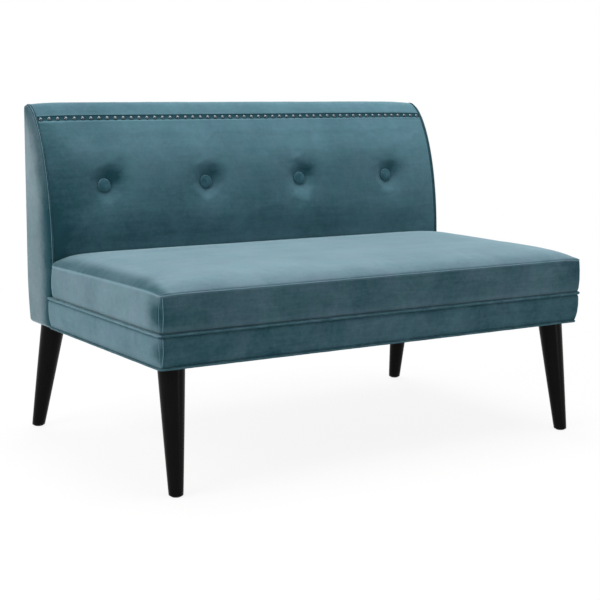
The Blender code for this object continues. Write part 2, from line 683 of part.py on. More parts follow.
def make_back_frame(wood, web):
    rear_low = back_rear_y(RAIL_BOTTOM) - BACK_REAR_CLEARANCE
    top = BACK_EDGE_Z - TOP_RAIL_BELOW_EDGE
    shoulder = top - TOP_RAIL_HEIGHT
    outline = [(BACK_RAIL_Y, RAIL_BOTTOM), (BACK_RAIL_Y, frame_heights()[0])]
    outline += [(panel_front_y(z), z) for z in frame_heights()]
    outline += [(top_rail_front(), shoulder + SHOULDER_RISE), (top_rail_front(), top)]
    outline.append((REAR_Y - BACK_REAR_CLEARANCE, top))
    for share in (1.15, 0.73, 0.33):
        z = PAD_BOTTOM + BACK_REAR_DRAW_HEIGHT * share
        outline.append((back_rear_y(z) - BACK_REAR_CLEARANCE, z))
    outline.append((rear_low, RAIL_BOTTOM))
    prism("back_end_panel_left", outline, "x", -PANEL_OUTER_X, -PANEL_INNER_X, wood)
    prism("back_end_panel_right", outline, "x", PANEL_INNER_X, PANEL_OUTER_X, wood)

    inner = PANEL_INNER_X - GAP
    thick = BACK_RAIL_THICKNESS
    front_rail = box("back_bottom_rail_front", (-inner, BACK_RAIL_Y, RAIL_BOTTOM),
                     (inner, BACK_RAIL_Y + thick, RAIL_TOP), wood)
    box("back_bottom_rail_rear", (-inner, rear_low - thick, RAIL_BOTTOM),
        (inner, rear_low, RAIL_TOP), wood)
    box("back_top_rail", (-inner, top_rail_front(), shoulder),
        (inner, REAR_Y - BACK_REAR_CLEARANCE, top), wood)
    low = BUTTON_Z - TUFT_RAIL_HEIGHT / 2
    high = BUTTON_Z + TUFT_RAIL_HEIGHT / 2
    face = [(panel_front_y(z), z) for z in corners_between(low, high)]
    outline = face + [(y + TUFT_RAIL_THICKNESS, z) for y, z in reversed(face)]
    prism("back_tufting_rail", outline, "x", -inner, inner, wood)

    webs = (("lower", SEAM_Z + WEB_LOWER_ABOVE_SEAM), ("middle", SEAM_Z + WEB_MIDDLE_ABOVE_SEAM),
            ("upper", BUTTON_Z + WEB_UPPER_ABOVE_BUTTON))
    web_end = PANEL_OUTER_X - WEB_END_MARGIN
    for name, z in webs:
        heights = corners_between(z - WEB_WIDTH / 2, z + WEB_WIDTH / 2)
        face = [(panel_front_y(height) - GAP, height) for height in heights]
        outline = face + [(y - WEB_THICKNESS + GAP, height) for y, height in reversed(face)]
        prism("back_webbing_" + name, outline, "x", -web_end, web_end, web)
    return front_rail, rear_low


# Seat unit

def seat_ring(inset, z, drop=0.0):
    """Plan outline of the seat pad, rounded at its corners, at an inset from its seam line."""
    half = HALF + SEAT_PAD_PROUD - inset
    front = FRONT_Y - SEAT_PAD_PROUD + inset
    rear = SEAT_REAR_Y - inset
    front_radius = max(SEAT_FRONT_CORNER - inset, 0.004)
    rear_radius = max(SEAT_REAR_CORNER - inset, 0.006)
    ring = []

    def line(start, end, count):
        for i in range(count):
            share = i / count
            ring.append((start[0] + (end[0] - start[0]) * share, start[1] + (end[1] - start[1]) * share))

    def arc(centre_x, centre_y, radius, start, count):
        for i in range(count):
            angle = math.radians(start + 90 * i / count)
            ring.append((centre_x + radius * math.cos(angle), centre_y + radius * math.sin(angle)))

    line((-half + front_radius, front), (half - front_radius, front), 14)
    arc(half - front_radius, front + front_radius, front_radius, -90, 3)
    line((half, front + front_radius), (half, rear - rear_radius), 7)
    arc(half - rear_radius, rear - rear_radius, rear_radius, 0, 5)
    line((half - rear_radius, rear), (-half + rear_radius, rear), 10)
    arc(-half + rear_radius, rear - rear_radius, rear_radius, 90, 5)
    line((-half, rear - rear_radius), (-half, front + front_radius), 7)
    arc(-half + front_radius, front + front_radius, front_radius, 180, 3)
    return [(x, y, z - drop * seam_drop(x, y)) for x, y in ring]


def seam_drop(x, y):
    """How far the seam is pulled down: at the front corners, and along the sides toward the rear."""
    reach = math.hypot(HALF - abs(x), y - FRONT_Y)
    corner = SEAT_CORNER_DIP * math.exp(-(reach / SEAT_CORNER_DIP_REACH) ** 2)
    along = min(max((y - FRONT_Y) / (SEAT_REAR_Y - FRONT_Y), 0.0), 1.0)
    side = math.exp(-((HALF - abs(x)) / SEAT_SIDE_SAG_REACH) ** 2)
    return corner + SEAT_SIDE_SAG * along ** SEAT_SIDE_SAG_POWER * side


def crown_share(distance):
    """Share of the seat's crown reached at a distance in from its seam."""
    reach = max(distance, 0.0) / SEAT_CROWN_REACH
    full = 1 - math.exp(-(SEAT_LEVEL_INSET / SEAT_CROWN_REACH) ** SEAT_CROWN_POWER)
    return min((1 - math.exp(-reach ** SEAT_CROWN_POWER)) / full, 1.0)


def seat_crown(x, y):
    side = crown_share(HALF + SEAT_PAD_PROUD - abs(x))
    front = crown_share(y - FRONT_Y + SEAT_PAD_PROUD)
    near = 1 - min(max(SEAT_REAR_Y - y, 0.0) / SEAT_REAR_DROP_REACH, 1.0)
    return SEAT_CROWN * side * front * (1 - SEAT_REAR_DROP * near * near)


def crowned(inset, base):
    ring = seat_ring(inset, base, 1.0)
    return [(x, y, z + seat_crown(x, y)) for x, y, z in ring]


def make_seat_pad(velvet, foam_material):
    lower = BOXING_BOTTOM
    height = SEAM_Z - GAP - lower
    outer = ((0.0, 0.6 * BOXING_BULGE), (0.14, -0.55 * BOXING_BULGE), (0.40, -BOXING_BULGE),
             (0.70, -0.8 * BOXING_BULGE), (1.0, 0.0))
    rings = []
    for share, inset in outer:
        rings.append(seat_ring(inset, lower + height * share, share))
    for share in (1.0, 0.0):
        rings.append(seat_ring(BOXING_THICKNESS, lower + height * share, share))
    loft("seat_boxing", rings, velvet, 50, closed=True, split=True)

    thick = SEAT_COVER_THICKNESS
    insets = (0.008, 0.017, 0.033, 0.065, 0.130, SEAT_LEVEL_INSET)
    rim = BOXING_THICKNESS + GAP
    rings = [crowned(inset, SEAM_Z) for inset in reversed(insets)]
    rings += [seat_ring(rim, SEAM_Z, 1.0), seat_ring(0.0, SEAM_Z, 1.0)]
    rings += [seat_ring(0.0, SEAM_Z + thick * 0.45, 1.0)]
    rings += [seat_ring(0.0014, SEAM_Z + thick, 1.0)]
    rings += [crowned(inset, SEAM_Z + thick) for inset in insets]
    rings[0] = [(x, y, SEAM_Z + SEAT_CROWN) for x, y, z in rings[0]]
    rings[-1] = [(x, y, SEAM_Z + SEAT_CROWN + thick) for x, y, z in rings[-1]]
    loft("seat_top_cover", rings, velvet, 50, split=True)

    rings = [seat_ring(rim, FOAM_BOTTOM), seat_ring(rim, SEAM_Z - GAP, 1.0)]
    rings += [crowned(inset, SEAM_Z - GAP) for inset in insets]
    rings[-1] = [(x, y, SEAM_Z - GAP + SEAT_CROWN) for x, y, z in rings[-1]]
    loft("seat_foam", rings, foam_material, 50, split=True)


def front_path(inset, rear_end):
    """Open path along one side, the front and the other side, with (x, y, outward x, outward y)."""
    half = HALF - inset
    front = FRONT_Y + inset
    radius = SEAT_FRONT_CORNER
    path = []
    for share in (0.0, 0.33, 0.66):
        path.append((-half, rear_end + (front + radius - rear_end) * share, -1.0, 0.0))
    for i in range(4):
        angle = math.radians(180 + 30 * i)
        path.append((-half + radius + radius * math.cos(angle), front + radius + radius * math.sin(angle),
                     math.cos(angle), math.sin(angle)))
    for i in range(1, 8):
        path.append((-half + radius + (2 * half - 2 * radius) * i / 8, front, 0.0, -1.0))
    mirrored = [(-x, y, -nx, ny) for x, y, nx, ny in path[:7]]
    return path + mirrored[::-1]


def band_inner_place(x, y, out_x, out_y):
    """Place on the band's inner face behind a place on its outer face."""
    reach = SEAT_FRONT_CORNER + GAP
    if HALF - abs(x) > reach or y - FRONT_Y > reach:
        return x - out_x * BAND_THICKNESS, y - out_y * BAND_THICKNESS
    inset = BAND_THICKNESS + BAND_INNER_CORNER
    corner_x = math.copysign(HALF - inset, x)
    return corner_x + out_x * BAND_INNER_CORNER, FRONT_Y + inset + out_y * BAND_INNER_CORNER


def make_rail_band(velvet):
    rear_end = BACK_FACE_Y - GAP
    height = BAND_TOP - BAND_BOTTOM
    face = ((0.0, -BAND_DRAWN_IN), (0.10, -BAND_DRAWN_IN * 0.2), (0.30, BAND_CROWN * 0.6),
            (0.60, BAND_CROWN), (0.88, BAND_CROWN * 0.9), (1.0, BAND_CROWN * 0.6))
    rings = []
    for x, y, out_x, out_y in front_path(0.0, rear_end):
        ring = []
        for share, out in face:
            ring.append((x + out_x * out, y + out_y * out, BAND_BOTTOM + height * share))
        inner = band_inner_place(x, y, out_x, out_y)
        ring.append((*inner, BAND_TOP))
        ring.append((*inner, BAND_BOTTOM))
        rings.append(ring)
    loft("rail_band", rings, velvet, 50, split=True)


def make_welt(name, inset, z, radius, velvet):
    rings = []
    sides = 8
    for x, y, out_x, out_y in front_path(inset, BACK_FACE_Y - GAP):
        ring = []
        for i in range(sides):
            angle = 2 * math.pi * (i + 0.5) / sides
            reach = radius * math.cos(angle)
            ring.append((x + out_x * reach, y + out_y * reach, z + radius * math.sin(angle)))
        rings.append(ring)
    loft(name, rings, velvet, 60)


def make_seat_frame(wood):
    chamfer = RAIL_CORNER_CHAMFER
    side_end = BACK_FACE_Y - EDGE_WELT_PROUD - GAP
    for name, sign in (("left", -1), ("right", 1)):
        outline = [(RAIL_INNER_X, RAIL_FACE_Y), (RAIL_FACE_X - chamfer, RAIL_FACE_Y),
                   (RAIL_FACE_X, RAIL_FACE_Y + chamfer), (RAIL_FACE_X, side_end), (RAIL_INNER_X, side_end)]
        outline = [(sign * x, y) for x, y in outline]
        prism("seat_rail_" + name, outline, "z", RAIL_BOTTOM, RAIL_TOP, wood)
    inner = RAIL_INNER_X - GAP
    box("seat_rail_front", (-inner, RAIL_FACE_Y, RAIL_BOTTOM),
        (inner, RAIL_FACE_Y + RAIL_THICKNESS, RAIL_TOP), wood)
    rear_rail = box("seat_rail_rear", (-inner, SEAT_RAIL_REAR_Y - RAIL_THICKNESS, RAIL_BOTTOM),
                    (inner, SEAT_RAIL_REAR_Y, RAIL_TOP), wood)
    box("seat_stretcher", (-STRETCHER_WIDTH / 2, RAIL_FACE_Y + RAIL_THICKNESS + GAP, RAIL_BOTTOM),
        (STRETCHER_WIDTH / 2, SEAT_RAIL_REAR_Y - RAIL_THICKNESS - GAP, RAIL_BOTTOM + STRETCHER_HEIGHT), wood)
    return rear_rail


def leg_places():
    """Name, top centre and foot centre of each leg."""
    places = []
    for side, sign in (("left", -1), ("right", 1)):
        x = sign * (HALF - LEG_INSET_SIDE_FRONT)
        y = FRONT_Y + LEG_INSET_FRONT
        foot = (x + sign * LEG_SPLAY_SIDE_FRONT, y - LEG_SPLAY_FRONT)
        places.append(("front_" + side, (x, y), foot))
        x = sign * (HALF - LEG_INSET_SIDE_REAR)
        y = REAR_Y - LEG_INSET_REAR
        foot = (x + sign * LEG_SPLAY_SIDE_REAR, y + LEG_SPLAY_REAR)
        places.append(("rear_" + side, (x, y), foot))
    return places


def make_legs(black_wood, steel, plastic):
    bottom = GLIDE_THICKNESS + GAP
    top = bottom + LEG_LENGTH
    hole = LEG_BOLT_RADIUS + BOLT_CLEARANCE
    depth = LEG_BOLT_IN_LEG + GAP
    for name, head, foot in leg_places():
        head = Vector(head)
        foot = Vector(foot)
        stations = []
        shape = ((0.0, LEG_FOOT_RADIUS - LEG_FOOT_CHAMFER), (LEG_FOOT_CHAMFER, LEG_FOOT_RADIUS))
        shape += tuple((LEG_LENGTH * share, LEG_FOOT_RADIUS + (LEG_TOP_RADIUS - LEG_FOOT_RADIUS) * share)
                       for share in (0.34, 0.67, 1.0))
        for rise, radius in shape:
            place = foot.lerp(head, rise / LEG_LENGTH)
            stations.append((place.x, place.y, bottom + rise, radius))
        stations.append((head.x, head.y, top, hole))
        stations.append((head.x, head.y, top - depth, hole))
        turned("leg_" + name, stations, 18, black_wood)
        bolt = LEG_BOLT_RADIUS
        low = top - LEG_BOLT_IN_LEG
        high = RAIL_BOTTOM + LEG_BOLT_IN_BLOCK
        stations = [(head.x, head.y, low, bolt * 0.55), (head.x, head.y, low + 0.005, bolt),
                    (head.x, head.y, high - 0.001, bolt), (head.x, head.y, high, bolt * 0.75)]
        turned("leg_bolt_" + name, stations, 10, steel)
        stations = [(foot.x, foot.y, 0.0, GLIDE_RADIUS * 0.88), (foot.x, foot.y, GLIDE_EDGE, GLIDE_RADIUS),
                    (foot.x, foot.y, GLIDE_THICKNESS, GLIDE_RADIUS)]
        turned("glide_" + name, stations, 16, plastic)


def make_corner_blocks(wood, hidden, rear_low):
    """Blocks that tie the rails and take the leg bolts."""
    low_y = RAIL_FACE_Y + RAIL_THICKNESS + GAP
    rear_low_y = BACK_RAIL_Y + BACK_RAIL_THICKNESS + GAP
    rear_high_y = rear_low - BACK_RAIL_THICKNESS - GAP
    corner = RAIL_INNER_X - GAP
    rear_corner = PANEL_INNER_X - GAP
    for name, head, foot in leg_places():
        sign = -1 if head[0] < 0 else 1
        if name.startswith("front"):
            outline = [(corner, low_y), (corner, low_y + BLOCK_LENGTH),
                       (corner - BLOCK_END_WIDTH, low_y + BLOCK_LENGTH),
                       (corner - BLOCK_LENGTH, low_y + BLOCK_END_WIDTH), (corner - BLOCK_LENGTH, low_y)]
        else:
            outline = [(rear_corner, rear_low_y), (rear_corner, rear_high_y),
                       (rear_corner - BLOCK_LENGTH, rear_high_y), (rear_corner - BLOCK_LENGTH, rear_low_y)]
        outline = [(sign * x, y) for x, y in outline]
        block = prism("corner_block_" + name, outline, "z", RAIL_BOTTOM, RAIL_BOTTOM + BLOCK_HEIGHT, wood)
        radius = LEG_BOLT_RADIUS + BOLT_CLEARANCE
        stations = [(head[0], head[1], RAIL_BOTTOM - 0.01, radius),
                    (head[0], head[1], RAIL_BOTTOM + LEG_BOLT_IN_BLOCK + GAP, radius)]
        cutter = turned("bolt_cutter_" + name, stations, 10, hidden)
        cut(block, cutter)


def make_springs(steel):
    front = RAIL_FACE_Y + SPRING_SEAT
    rear = SEAT_RAIL_REAR_Y - SPRING_SEAT
    span = 2 * (RAIL_INNER_X - SPRING_SIDE_MARGIN)
    for index in range(SPRING_COUNT):
        centre = -span / 2 + span * index / (SPRING_COUNT - 1)
        points = []
        for bar in range(SPRING_BARS):
            y = front + (rear - front) * bar / (SPRING_BARS - 1)
            side = 1 if bar % 2 == 0 else -1
            points.append((centre - side * SPRING_WIDTH / 2, y))
            points.append((centre + side * SPRING_WIDTH / 2, y))
        curve = bpy.data.curves.new("seat_spring_" + str(index + 1), "CURVE")
        curve.dimensions = "3D"
        curve.bevel_depth = SPRING_WIRE_RADIUS
        curve.bevel_resolution = 0
        curve.use_fill_caps = True
        spline = curve.splines.new("POLY")
        spline.points.add(len(points) - 1)
        for point, (x, y) in zip(spline.points, points):
            point.co = (x, y, SPRING_Z, 1.0)
        curve.materials.append(steel)
        spring = bpy.data.objects.new("seat_spring_" + str(index + 1), curve)
        bpy.context.scene.collection.objects.link(spring)


def make_sheets(felt, cloth):
    margin = INSULATOR_MARGIN
    box("seat_insulator", (-RAIL_FACE_X + margin, RAIL_FACE_Y + margin, INSULATOR_BOTTOM),
        (RAIL_FACE_X - margin, SEAT_REAR_Y - margin, INSULATOR_BOTTOM + INSULATOR_THICKNESS), felt)
    edge = RAIL_FACE_X - DUST_COVER_MARGIN
    front = RAIL_FACE_Y + DUST_COVER_MARGIN
    rear = back_rear_y(RAIL_BOTTOM) - BACK_REAR_CLEARANCE - DUST_COVER_MARGIN
    clear = LEG_TOP_RADIUS + LEG_NOTCH_MARGIN
    front_x = HALF - LEG_INSET_SIDE_FRONT - clear
    front_y = FRONT_Y + LEG_INSET_FRONT + clear
    rear_x = HALF - LEG_INSET_SIDE_REAR - clear
    rear_y = REAR_Y - LEG_INSET_REAR - clear
    half_outline = [(front_x, front), (front_x, front_y), (edge, front_y), (edge, rear_y), (rear_x, rear_y),
                    (rear_x, rear)]
    outline = half_outline + [(-x, y) for x, y in reversed(half_outline)]
    top = RAIL_BOTTOM - GAP
    prism("dust_cover", outline, "z", top - DUST_COVER_THICKNESS, top, cloth)


def make_unit_bolts(seat_rail, back_rail, steel, hidden):
    z = RAIL_BOTTOM + RAIL_HEIGHT / 2
    start = SEAT_RAIL_REAR_Y - RAIL_THICKNESS - GAP
    end = BACK_RAIL_Y + BACK_RAIL_THICKNESS + UNIT_BOLT_END
    for name, x in (("left", -HALF + UNIT_BOLT_END_MARGIN), ("right", HALF - UNIT_BOLT_END_MARGIN)):
        head = UNIT_BOLT_HEAD_RADIUS
        stations = [(start - UNIT_BOLT_HEAD_HEIGHT, head), (start, head),
                    (start + 0.0001, UNIT_BOLT_RADIUS), (end, UNIT_BOLT_RADIUS)]
        rod_along_y("unit_bolt_" + name, x, z, stations, 12, steel, 30)
        radius = UNIT_BOLT_RADIUS + BOLT_CLEARANCE
        stations = [(start - 0.01, radius), (end + 0.01, radius)]
        cutter = rod_along_y("unit_cutter_" + name, x, z, stations, 12, hidden)
        cut(seat_rail, cutter)
        cut(back_rail, cutter)


def build():
    clear_scene()
    velvet = make_material("velvet", (0.115, 0.235, 0.275), 0.85)
    foam = make_material("foam", (0.86, 0.82, 0.66), 0.95)
    wood = make_material("frame_wood", (0.62, 0.47, 0.30), 0.7)
    black_wood = make_material("black_wood", (0.012, 0.012, 0.013), 0.32)
    steel = make_material("steel", (0.55, 0.55, 0.56), 0.35, 1.0)
    nickel = make_material("nickel", (0.72, 0.72, 0.72), 0.25, 1.0)
    felt = make_material("felt", (0.42, 0.42, 0.40), 0.95)
    web = make_material("webbing", (0.10, 0.10, 0.11), 0.8)
    plastic = make_material("glide_plastic", (0.03, 0.03, 0.03), 0.5)
    dust_cloth = make_material("dust_cloth", (0.02, 0.02, 0.022), 0.9)

    seat_rear_rail = make_seat_frame(wood)
    back_front_rail, rear_low = make_back_frame(wood, web)
    make_corner_blocks(wood, wood, rear_low)
    make_unit_bolts(seat_rear_rail, back_front_rail, steel, wood)
    make_springs(steel)
    make_sheets(felt, dust_cloth)
    make_seat_pad(velvet, foam)
    make_rail_band(velvet)
    make_welt("mid_welt", MID_WELT_RADIUS - WELT_PROUD, WELT_Z, MID_WELT_RADIUS, velvet)
    make_welt("base_welt", BAND_DRAWN_IN, BASE_WELT_Z, BASE_WELT_RADIUS, velvet)

    inside_cover = make_back_covers(velvet)
    back_foam = make_back_foam(foam)
    cut_twine_holes((inside_cover, back_foam), wood)
    make_outside_cover(velvet)
    make_side_pads(velvet)
    make_edge_welts(velvet)
    make_buttons(velvet)
    make_nail_strip(nickel)
    make_legs(black_wood, steel, plastic)


build()
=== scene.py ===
import bpy
import bmesh
import math
import numpy as np
from mathutils import Matrix, Vector


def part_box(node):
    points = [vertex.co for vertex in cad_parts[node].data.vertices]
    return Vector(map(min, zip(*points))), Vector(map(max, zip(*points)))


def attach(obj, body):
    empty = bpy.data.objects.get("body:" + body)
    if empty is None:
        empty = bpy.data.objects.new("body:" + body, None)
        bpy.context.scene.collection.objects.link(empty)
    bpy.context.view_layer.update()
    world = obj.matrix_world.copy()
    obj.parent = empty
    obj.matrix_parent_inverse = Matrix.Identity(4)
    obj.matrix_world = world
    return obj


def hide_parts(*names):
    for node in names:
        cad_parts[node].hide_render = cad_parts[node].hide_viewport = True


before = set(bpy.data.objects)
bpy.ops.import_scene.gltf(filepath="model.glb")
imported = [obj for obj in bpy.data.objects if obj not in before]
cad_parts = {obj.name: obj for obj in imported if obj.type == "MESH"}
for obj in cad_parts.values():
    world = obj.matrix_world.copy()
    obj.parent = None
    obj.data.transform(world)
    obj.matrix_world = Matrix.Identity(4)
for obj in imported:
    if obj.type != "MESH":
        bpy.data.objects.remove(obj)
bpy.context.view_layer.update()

scene = bpy.context.scene
bothSides = (("left", -1), ("right", 1))
print("frame loaded,", len(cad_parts), "nodes")


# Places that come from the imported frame, in metres: +Z is up, the front faces -Y

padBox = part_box("back_side_pad_left")
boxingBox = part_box("seat_boxing")
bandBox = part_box("rail_band")

shell = {
    "gap": 0.0003,
    "padCrown": 0.0015,         # the end pads stand this far beyond half the body's width
    "padThickness": 0.0075,
    "edgeBandWidth": 0.0068,
    "frontDrawn": 0.0025,       # the rail band stands this far in front of the body's front
    "nailsBelowTop": 0.0357,
}
gap = shell["gap"]
half = -padBox[0][0] - shell["padCrown"]
padInnerX = half - shell["padThickness"]
edgeOuterX = padInnerX - gap
edgeInnerX = edgeOuterX - shell["edgeBandWidth"]
coverHalf = edgeInnerX - gap
frontY = bandBox[0][1] + shell["frontDrawn"]
backFaceY = padBox[0][1]
rearY = padBox[1][1]
padBottom = padBox[0][2]
topZ = padBox[1][2]
seamZ = boxingBox[1][2] + gap
nailZ = topZ - shell["nailsBelowTop"]
buttonXs = [(low[0] + high[0]) / 2 for low, high in (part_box(f"tuft_button_{i + 1}") for i in range(4))]

# The back's section: upright at the seat, curved over to the rear top edge
section = {
    "curveBelowSeam": 0.0165,
    "curvePower": 0.55,
    "leanShare": 0.03,
    "topRadius": 0.0070,
    "crown": 0.0075,
    "crownDepth": 0.0645,
    "bulge": 0.006,
    "bulgeReach": 0.085,
    "buttonAboveSeam": 0.1925,
    "rearDrawnIn": 0.014,
    "rearDrawHeight": 0.150,
    "steps": (60, 500, 40),     # points on the upright, the curve and the top arc
}
curveZ = seamZ - section["curveBelowSeam"]
topRadius = section["topRadius"]
backLean = rearY - topRadius - backFaceY
buttonZ = seamZ + section["buttonAboveSeam"]


def smoothStep(value):
    value = np.clip(value, 0.0, 1.0)
    return value * value * (3 - 2 * value)


def hump(value, width):
    # 1 at zero, fading out both ways
    return np.exp(-(value / width) ** 2)


def ripple(place, wave, start=0.0):
    turns = 2 * math.pi * place / wave
    return (0.5 * np.sin(turns + start) + 0.3 * np.sin(turns * 1.73 + 2.1 + start)
            + 0.2 * np.sin(turns * 2.91 + 4.4 + 2 * start))


def pathLengths(first, second):
    return np.concatenate([[0.0], np.cumsum(np.hypot(np.diff(first), np.diff(second)))])


def backFrontY(z):
    rise = np.clip((z - curveZ) / (topZ - curveZ), 0.0, 1.0)
    curve = 1 - (1 - rise * rise) ** section["curvePower"]
    return backFaceY + backLean * (section["leanShare"] * rise + (1 - section["leanShare"]) * curve)


def backRearY(z):
    drop = np.clip((padBottom + section["rearDrawHeight"] - z) / section["rearDrawHeight"], 0.0, 1.0)
    return rearY - section["rearDrawnIn"] * drop * drop


def sectionHeights(lowCount, highCount, turn):
    # Even steps up the upright, then closer and closer ones towards the top
    lowZ = np.linspace(padBottom, curveZ, lowCount, endpoint=False)
    return np.concatenate([lowZ, curveZ + (topZ - curveZ) * np.sin(np.linspace(0, turn, highCount))])


def makeSection():
    lowCount, highCount, arcCount = section["steps"]
    frontZ = sectionHeights(lowCount, highCount, math.pi / 2)
    turn = np.linspace(0, math.pi / 2, arcCount + 1)[1:]
    ys = np.concatenate([backFrontY(frontZ), rearY - topRadius + topRadius * np.sin(turn), [rearY]])
    zs = np.concatenate([frontZ, topZ - topRadius + topRadius * np.cos(turn), [topZ - 5 * topRadius]])
    return ys, zs, pathLengths(ys, zs), len(frontZ)


sectionYs, sectionZs, sectionLengths, frontCount = makeSection()
topLength = float(sectionLengths[frontCount - 1])
arcEndLength = float(sectionLengths[frontCount + section["steps"][2] - 1])


def sectionPoint(length):
    return np.interp(length, sectionLengths, sectionYs), np.interp(length, sectionLengths, sectionZs)


def sectionNormal(length):
    y0, z0 = sectionPoint(length - 0.0008)
    y1, z1 = sectionPoint(length + 0.0008)
    size = np.hypot(y1 - y0, z1 - z0)
    return -(z1 - z0) / size, (y1 - y0) / size


def lengthAt(z):
    return float(np.interp(z, sectionZs[:frontCount], sectionLengths[:frontCount]))


def topCrown(x, z):
    share = 1 - np.minimum(np.abs(x) / half, 1.0) ** 14
    return section["crown"] * share * smoothStep((z - topZ) / section["crownDepth"] + 1)


def offSection(x, length, out):
    y, z = sectionPoint(length)
    normalY, normalZ = sectionNormal(length)
    return np.stack([x + 0 * y, y + normalY * out, z + normalZ * out + topCrown(x, z)], axis=-1)


nailLength = lengthAt(nailZ)


# Mesh helpers for the sewn and padded pieces

clothBase = {"quality": 4, "mass": 0.3, "damping": 12}


def meshPiece(name, points, faces):
    mesh = bpy.data.meshes.new(name)
    mesh.from_pydata([tuple(map(float, point)) for point in points], [], faces)
    mesh.validate()
    piece = bpy.data.objects.new(name, mesh)
    bpy.context.collection.objects.link(piece)
    return piece


def gridFaces(rows, columns, tube=True, loop=False):
    # A tube closes each row round, and a loop joins the last row to the first
    faces = []
    total = rows * columns
    for row in range(rows if loop else rows - 1):
        for column in range(columns if tube else columns - 1):
            a = row * columns + column
            b = row * columns + (column + 1) % columns
            faces.append((a, b, (b + columns) % total, (a + columns) % total))
    return faces


def loftPiece(name, rings, tube=True, loop=False):
    rings = np.array(rings, dtype=float)
    return meshPiece(name, rings.reshape(-1, 3), gridFaces(*rings.shape[:2], tube, loop))


def only(piece, *others):
    bpy.ops.object.select_all(action="DESELECT")
    for thing in (piece, *others):
        thing.select_set(True)
    bpy.context.view_layer.objects.active = piece


def faceOutwards(piece):
    only(piece)
    bpy.ops.object.mode_set(mode="EDIT")
    bpy.ops.mesh.select_all(action="SELECT")
    bpy.ops.mesh.remove_doubles(threshold=0.00002)
    bpy.ops.mesh.normals_make_consistent(inside=False)
    bpy.ops.object.mode_set(mode="OBJECT")


def closedOver(piece):
    # Open ends are filled once the mesh is fine, then every face is turned outwards
    only(piece)
    work = bmesh.new()
    work.from_mesh(piece.data)
    bmesh.ops.remove_doubles(work, verts=work.verts, dist=0.00002)
    bmesh.ops.holes_fill(work, edges=[edge for edge in work.edges if edge.is_boundary], sides=0)
    bmesh.ops.recalc_face_normals(work, faces=work.faces)
    work.to_mesh(piece.data)
    work.free()


def subdivided(piece):
    # One finer level, where folds of more than 60 degrees stay sharp
    only(piece)
    work = bmesh.new()
    work.from_mesh(piece.data)
    crease = work.edges.layers.float.get("crease_edge") or work.edges.layers.float.new("crease_edge")
    for edge in work.edges:
        if len(edge.link_faces) == 2 and edge.calc_face_angle(0.0) > math.radians(60):
            edge[crease] = 1.0
    work.to_mesh(piece.data)
    work.free()
    finer = piece.modifiers.new("finer", "SUBSURF")
    finer.levels = finer.render_levels = 1
    bpy.ops.object.modifier_apply(modifier=finer.name)


def smoothShaded(piece, angle):
    only(piece)
    bpy.ops.object.shade_smooth_by_angle(angle=math.radians(angle))


def meshPoints(piece):
    points = np.empty(len(piece.data.vertices) * 3)
    piece.data.vertices.foreach_get("co", points)
    return points.reshape(-1, 3)


def setMeshPoints(piece, points):
    piece.data.vertices.foreach_set("co", np.asarray(points, dtype=float).ravel())
    piece.data.update()


def swellCloth(piece, free, cloth):
    # Pinned where free is 0. No point moves further than the cap, however hard the cloth pulls
    before = meshPoints(piece)
    only(piece)
    held = piece.vertex_groups.new(name="held")
    levels = np.round((1 - np.clip(free, 0.0, 1.0)) * 20) / 20
    for level in np.unique(levels):
        if level > 0:
            held.add([int(i) for i in np.nonzero(levels == level)[0]], float(level), "REPLACE")
    modifier = piece.modifiers.new("cloth", "CLOTH")
    settings = modifier.settings
    settings.quality = clothBase["quality"]
    settings.mass = clothBase["mass"]
    settings.tension_stiffness = settings.compression_stiffness = cloth["stiffness"]
    settings.shear_stiffness = cloth["stiffness"] / 3
    settings.bending_stiffness = cloth["bending"]
    settings.tension_damping = settings.compression_damping = clothBase["damping"]
    settings.vertex_group_mass = "held"
    settings.pin_stiffness = 1.0
    settings.use_pressure = True
    settings.uniform_pressure_force = cloth["pressure"]
    settings.shrink_min = cloth["shrink"]
    settings.effector_weights.gravity = 0.0
    modifier.collision_settings.use_collision = False
    modifier.collision_settings.use_self_collision = False
    modifier.point_cache.frame_start = 1
    modifier.point_cache.frame_end = cloth["frames"]
    for number in range(1, cloth["frames"] + 1):
        scene.frame_set(number)
    bpy.ops.object.modifier_apply(modifier=modifier.name)
    scene.frame_set(1)
    piece.vertex_groups.clear()
    moved = meshPoints(piece) - before
    size = np.linalg.norm(moved, axis=1)
    print(piece.name, "cloth moved up to", round(float(size.max()) * 1000, 1), "mm")
    allowed = cloth["cap"] * np.clip(free, 0.0, 1.0) + 1e-9
    share = allowed / (allowed + size)
    setMeshPoints(piece, before + moved * (share * cloth["keep"])[:, None])


# Each point's painted light and shade, which moves the velvet's colour between its dark and its light look
def addPaintedShading(piece, values):
    layer = piece.data.attributes.new("paintedShading", "FLOAT", "POINT")
    layer.data.foreach_set("value", np.asarray(values, dtype=float))


def dressed(piece, material):
    piece.data.materials.clear()
    piece.data.materials.append(material)
    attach(piece, "root")


def sewn(piece, paintedShading, material, angle, free=None, cloth=None, finer=True):
    # The steps that most velvet pieces take, in their order
    addPaintedShading(piece, paintedShading)
    if cloth:
        swellCloth(piece, free, cloth)
    if finer:
        subdivided(piece)
    closedOver(piece)
    smoothShaded(piece, angle)
    dressed(piece, material)


# Node helpers, for the shader groups, the materials, the world and the floor

def fill(tree, node, inputs):
    # An output is linked, a number or place is set, and a colour gets its alpha
    for key, value in inputs.items():
        socket = node.inputs[key]
        if isinstance(value, bpy.types.NodeSocket):
            tree.links.new(value, socket)
        else:
            socket.default_value = (*value, 1.0) if socket.type == "RGBA" else value
    return node


def addNode(tree, kind, inputs):
    return fill(tree, tree.nodes.new("ShaderNode" + kind), inputs)


def addNoise(tree, vector, scale, detail, roughness, distortion=0.0):
    return addNode(tree, "TexNoise", {"Vector": vector, "Scale": scale, "Detail": detail,
                                      "Roughness": roughness, "Distortion": distortion}).outputs["Fac"]


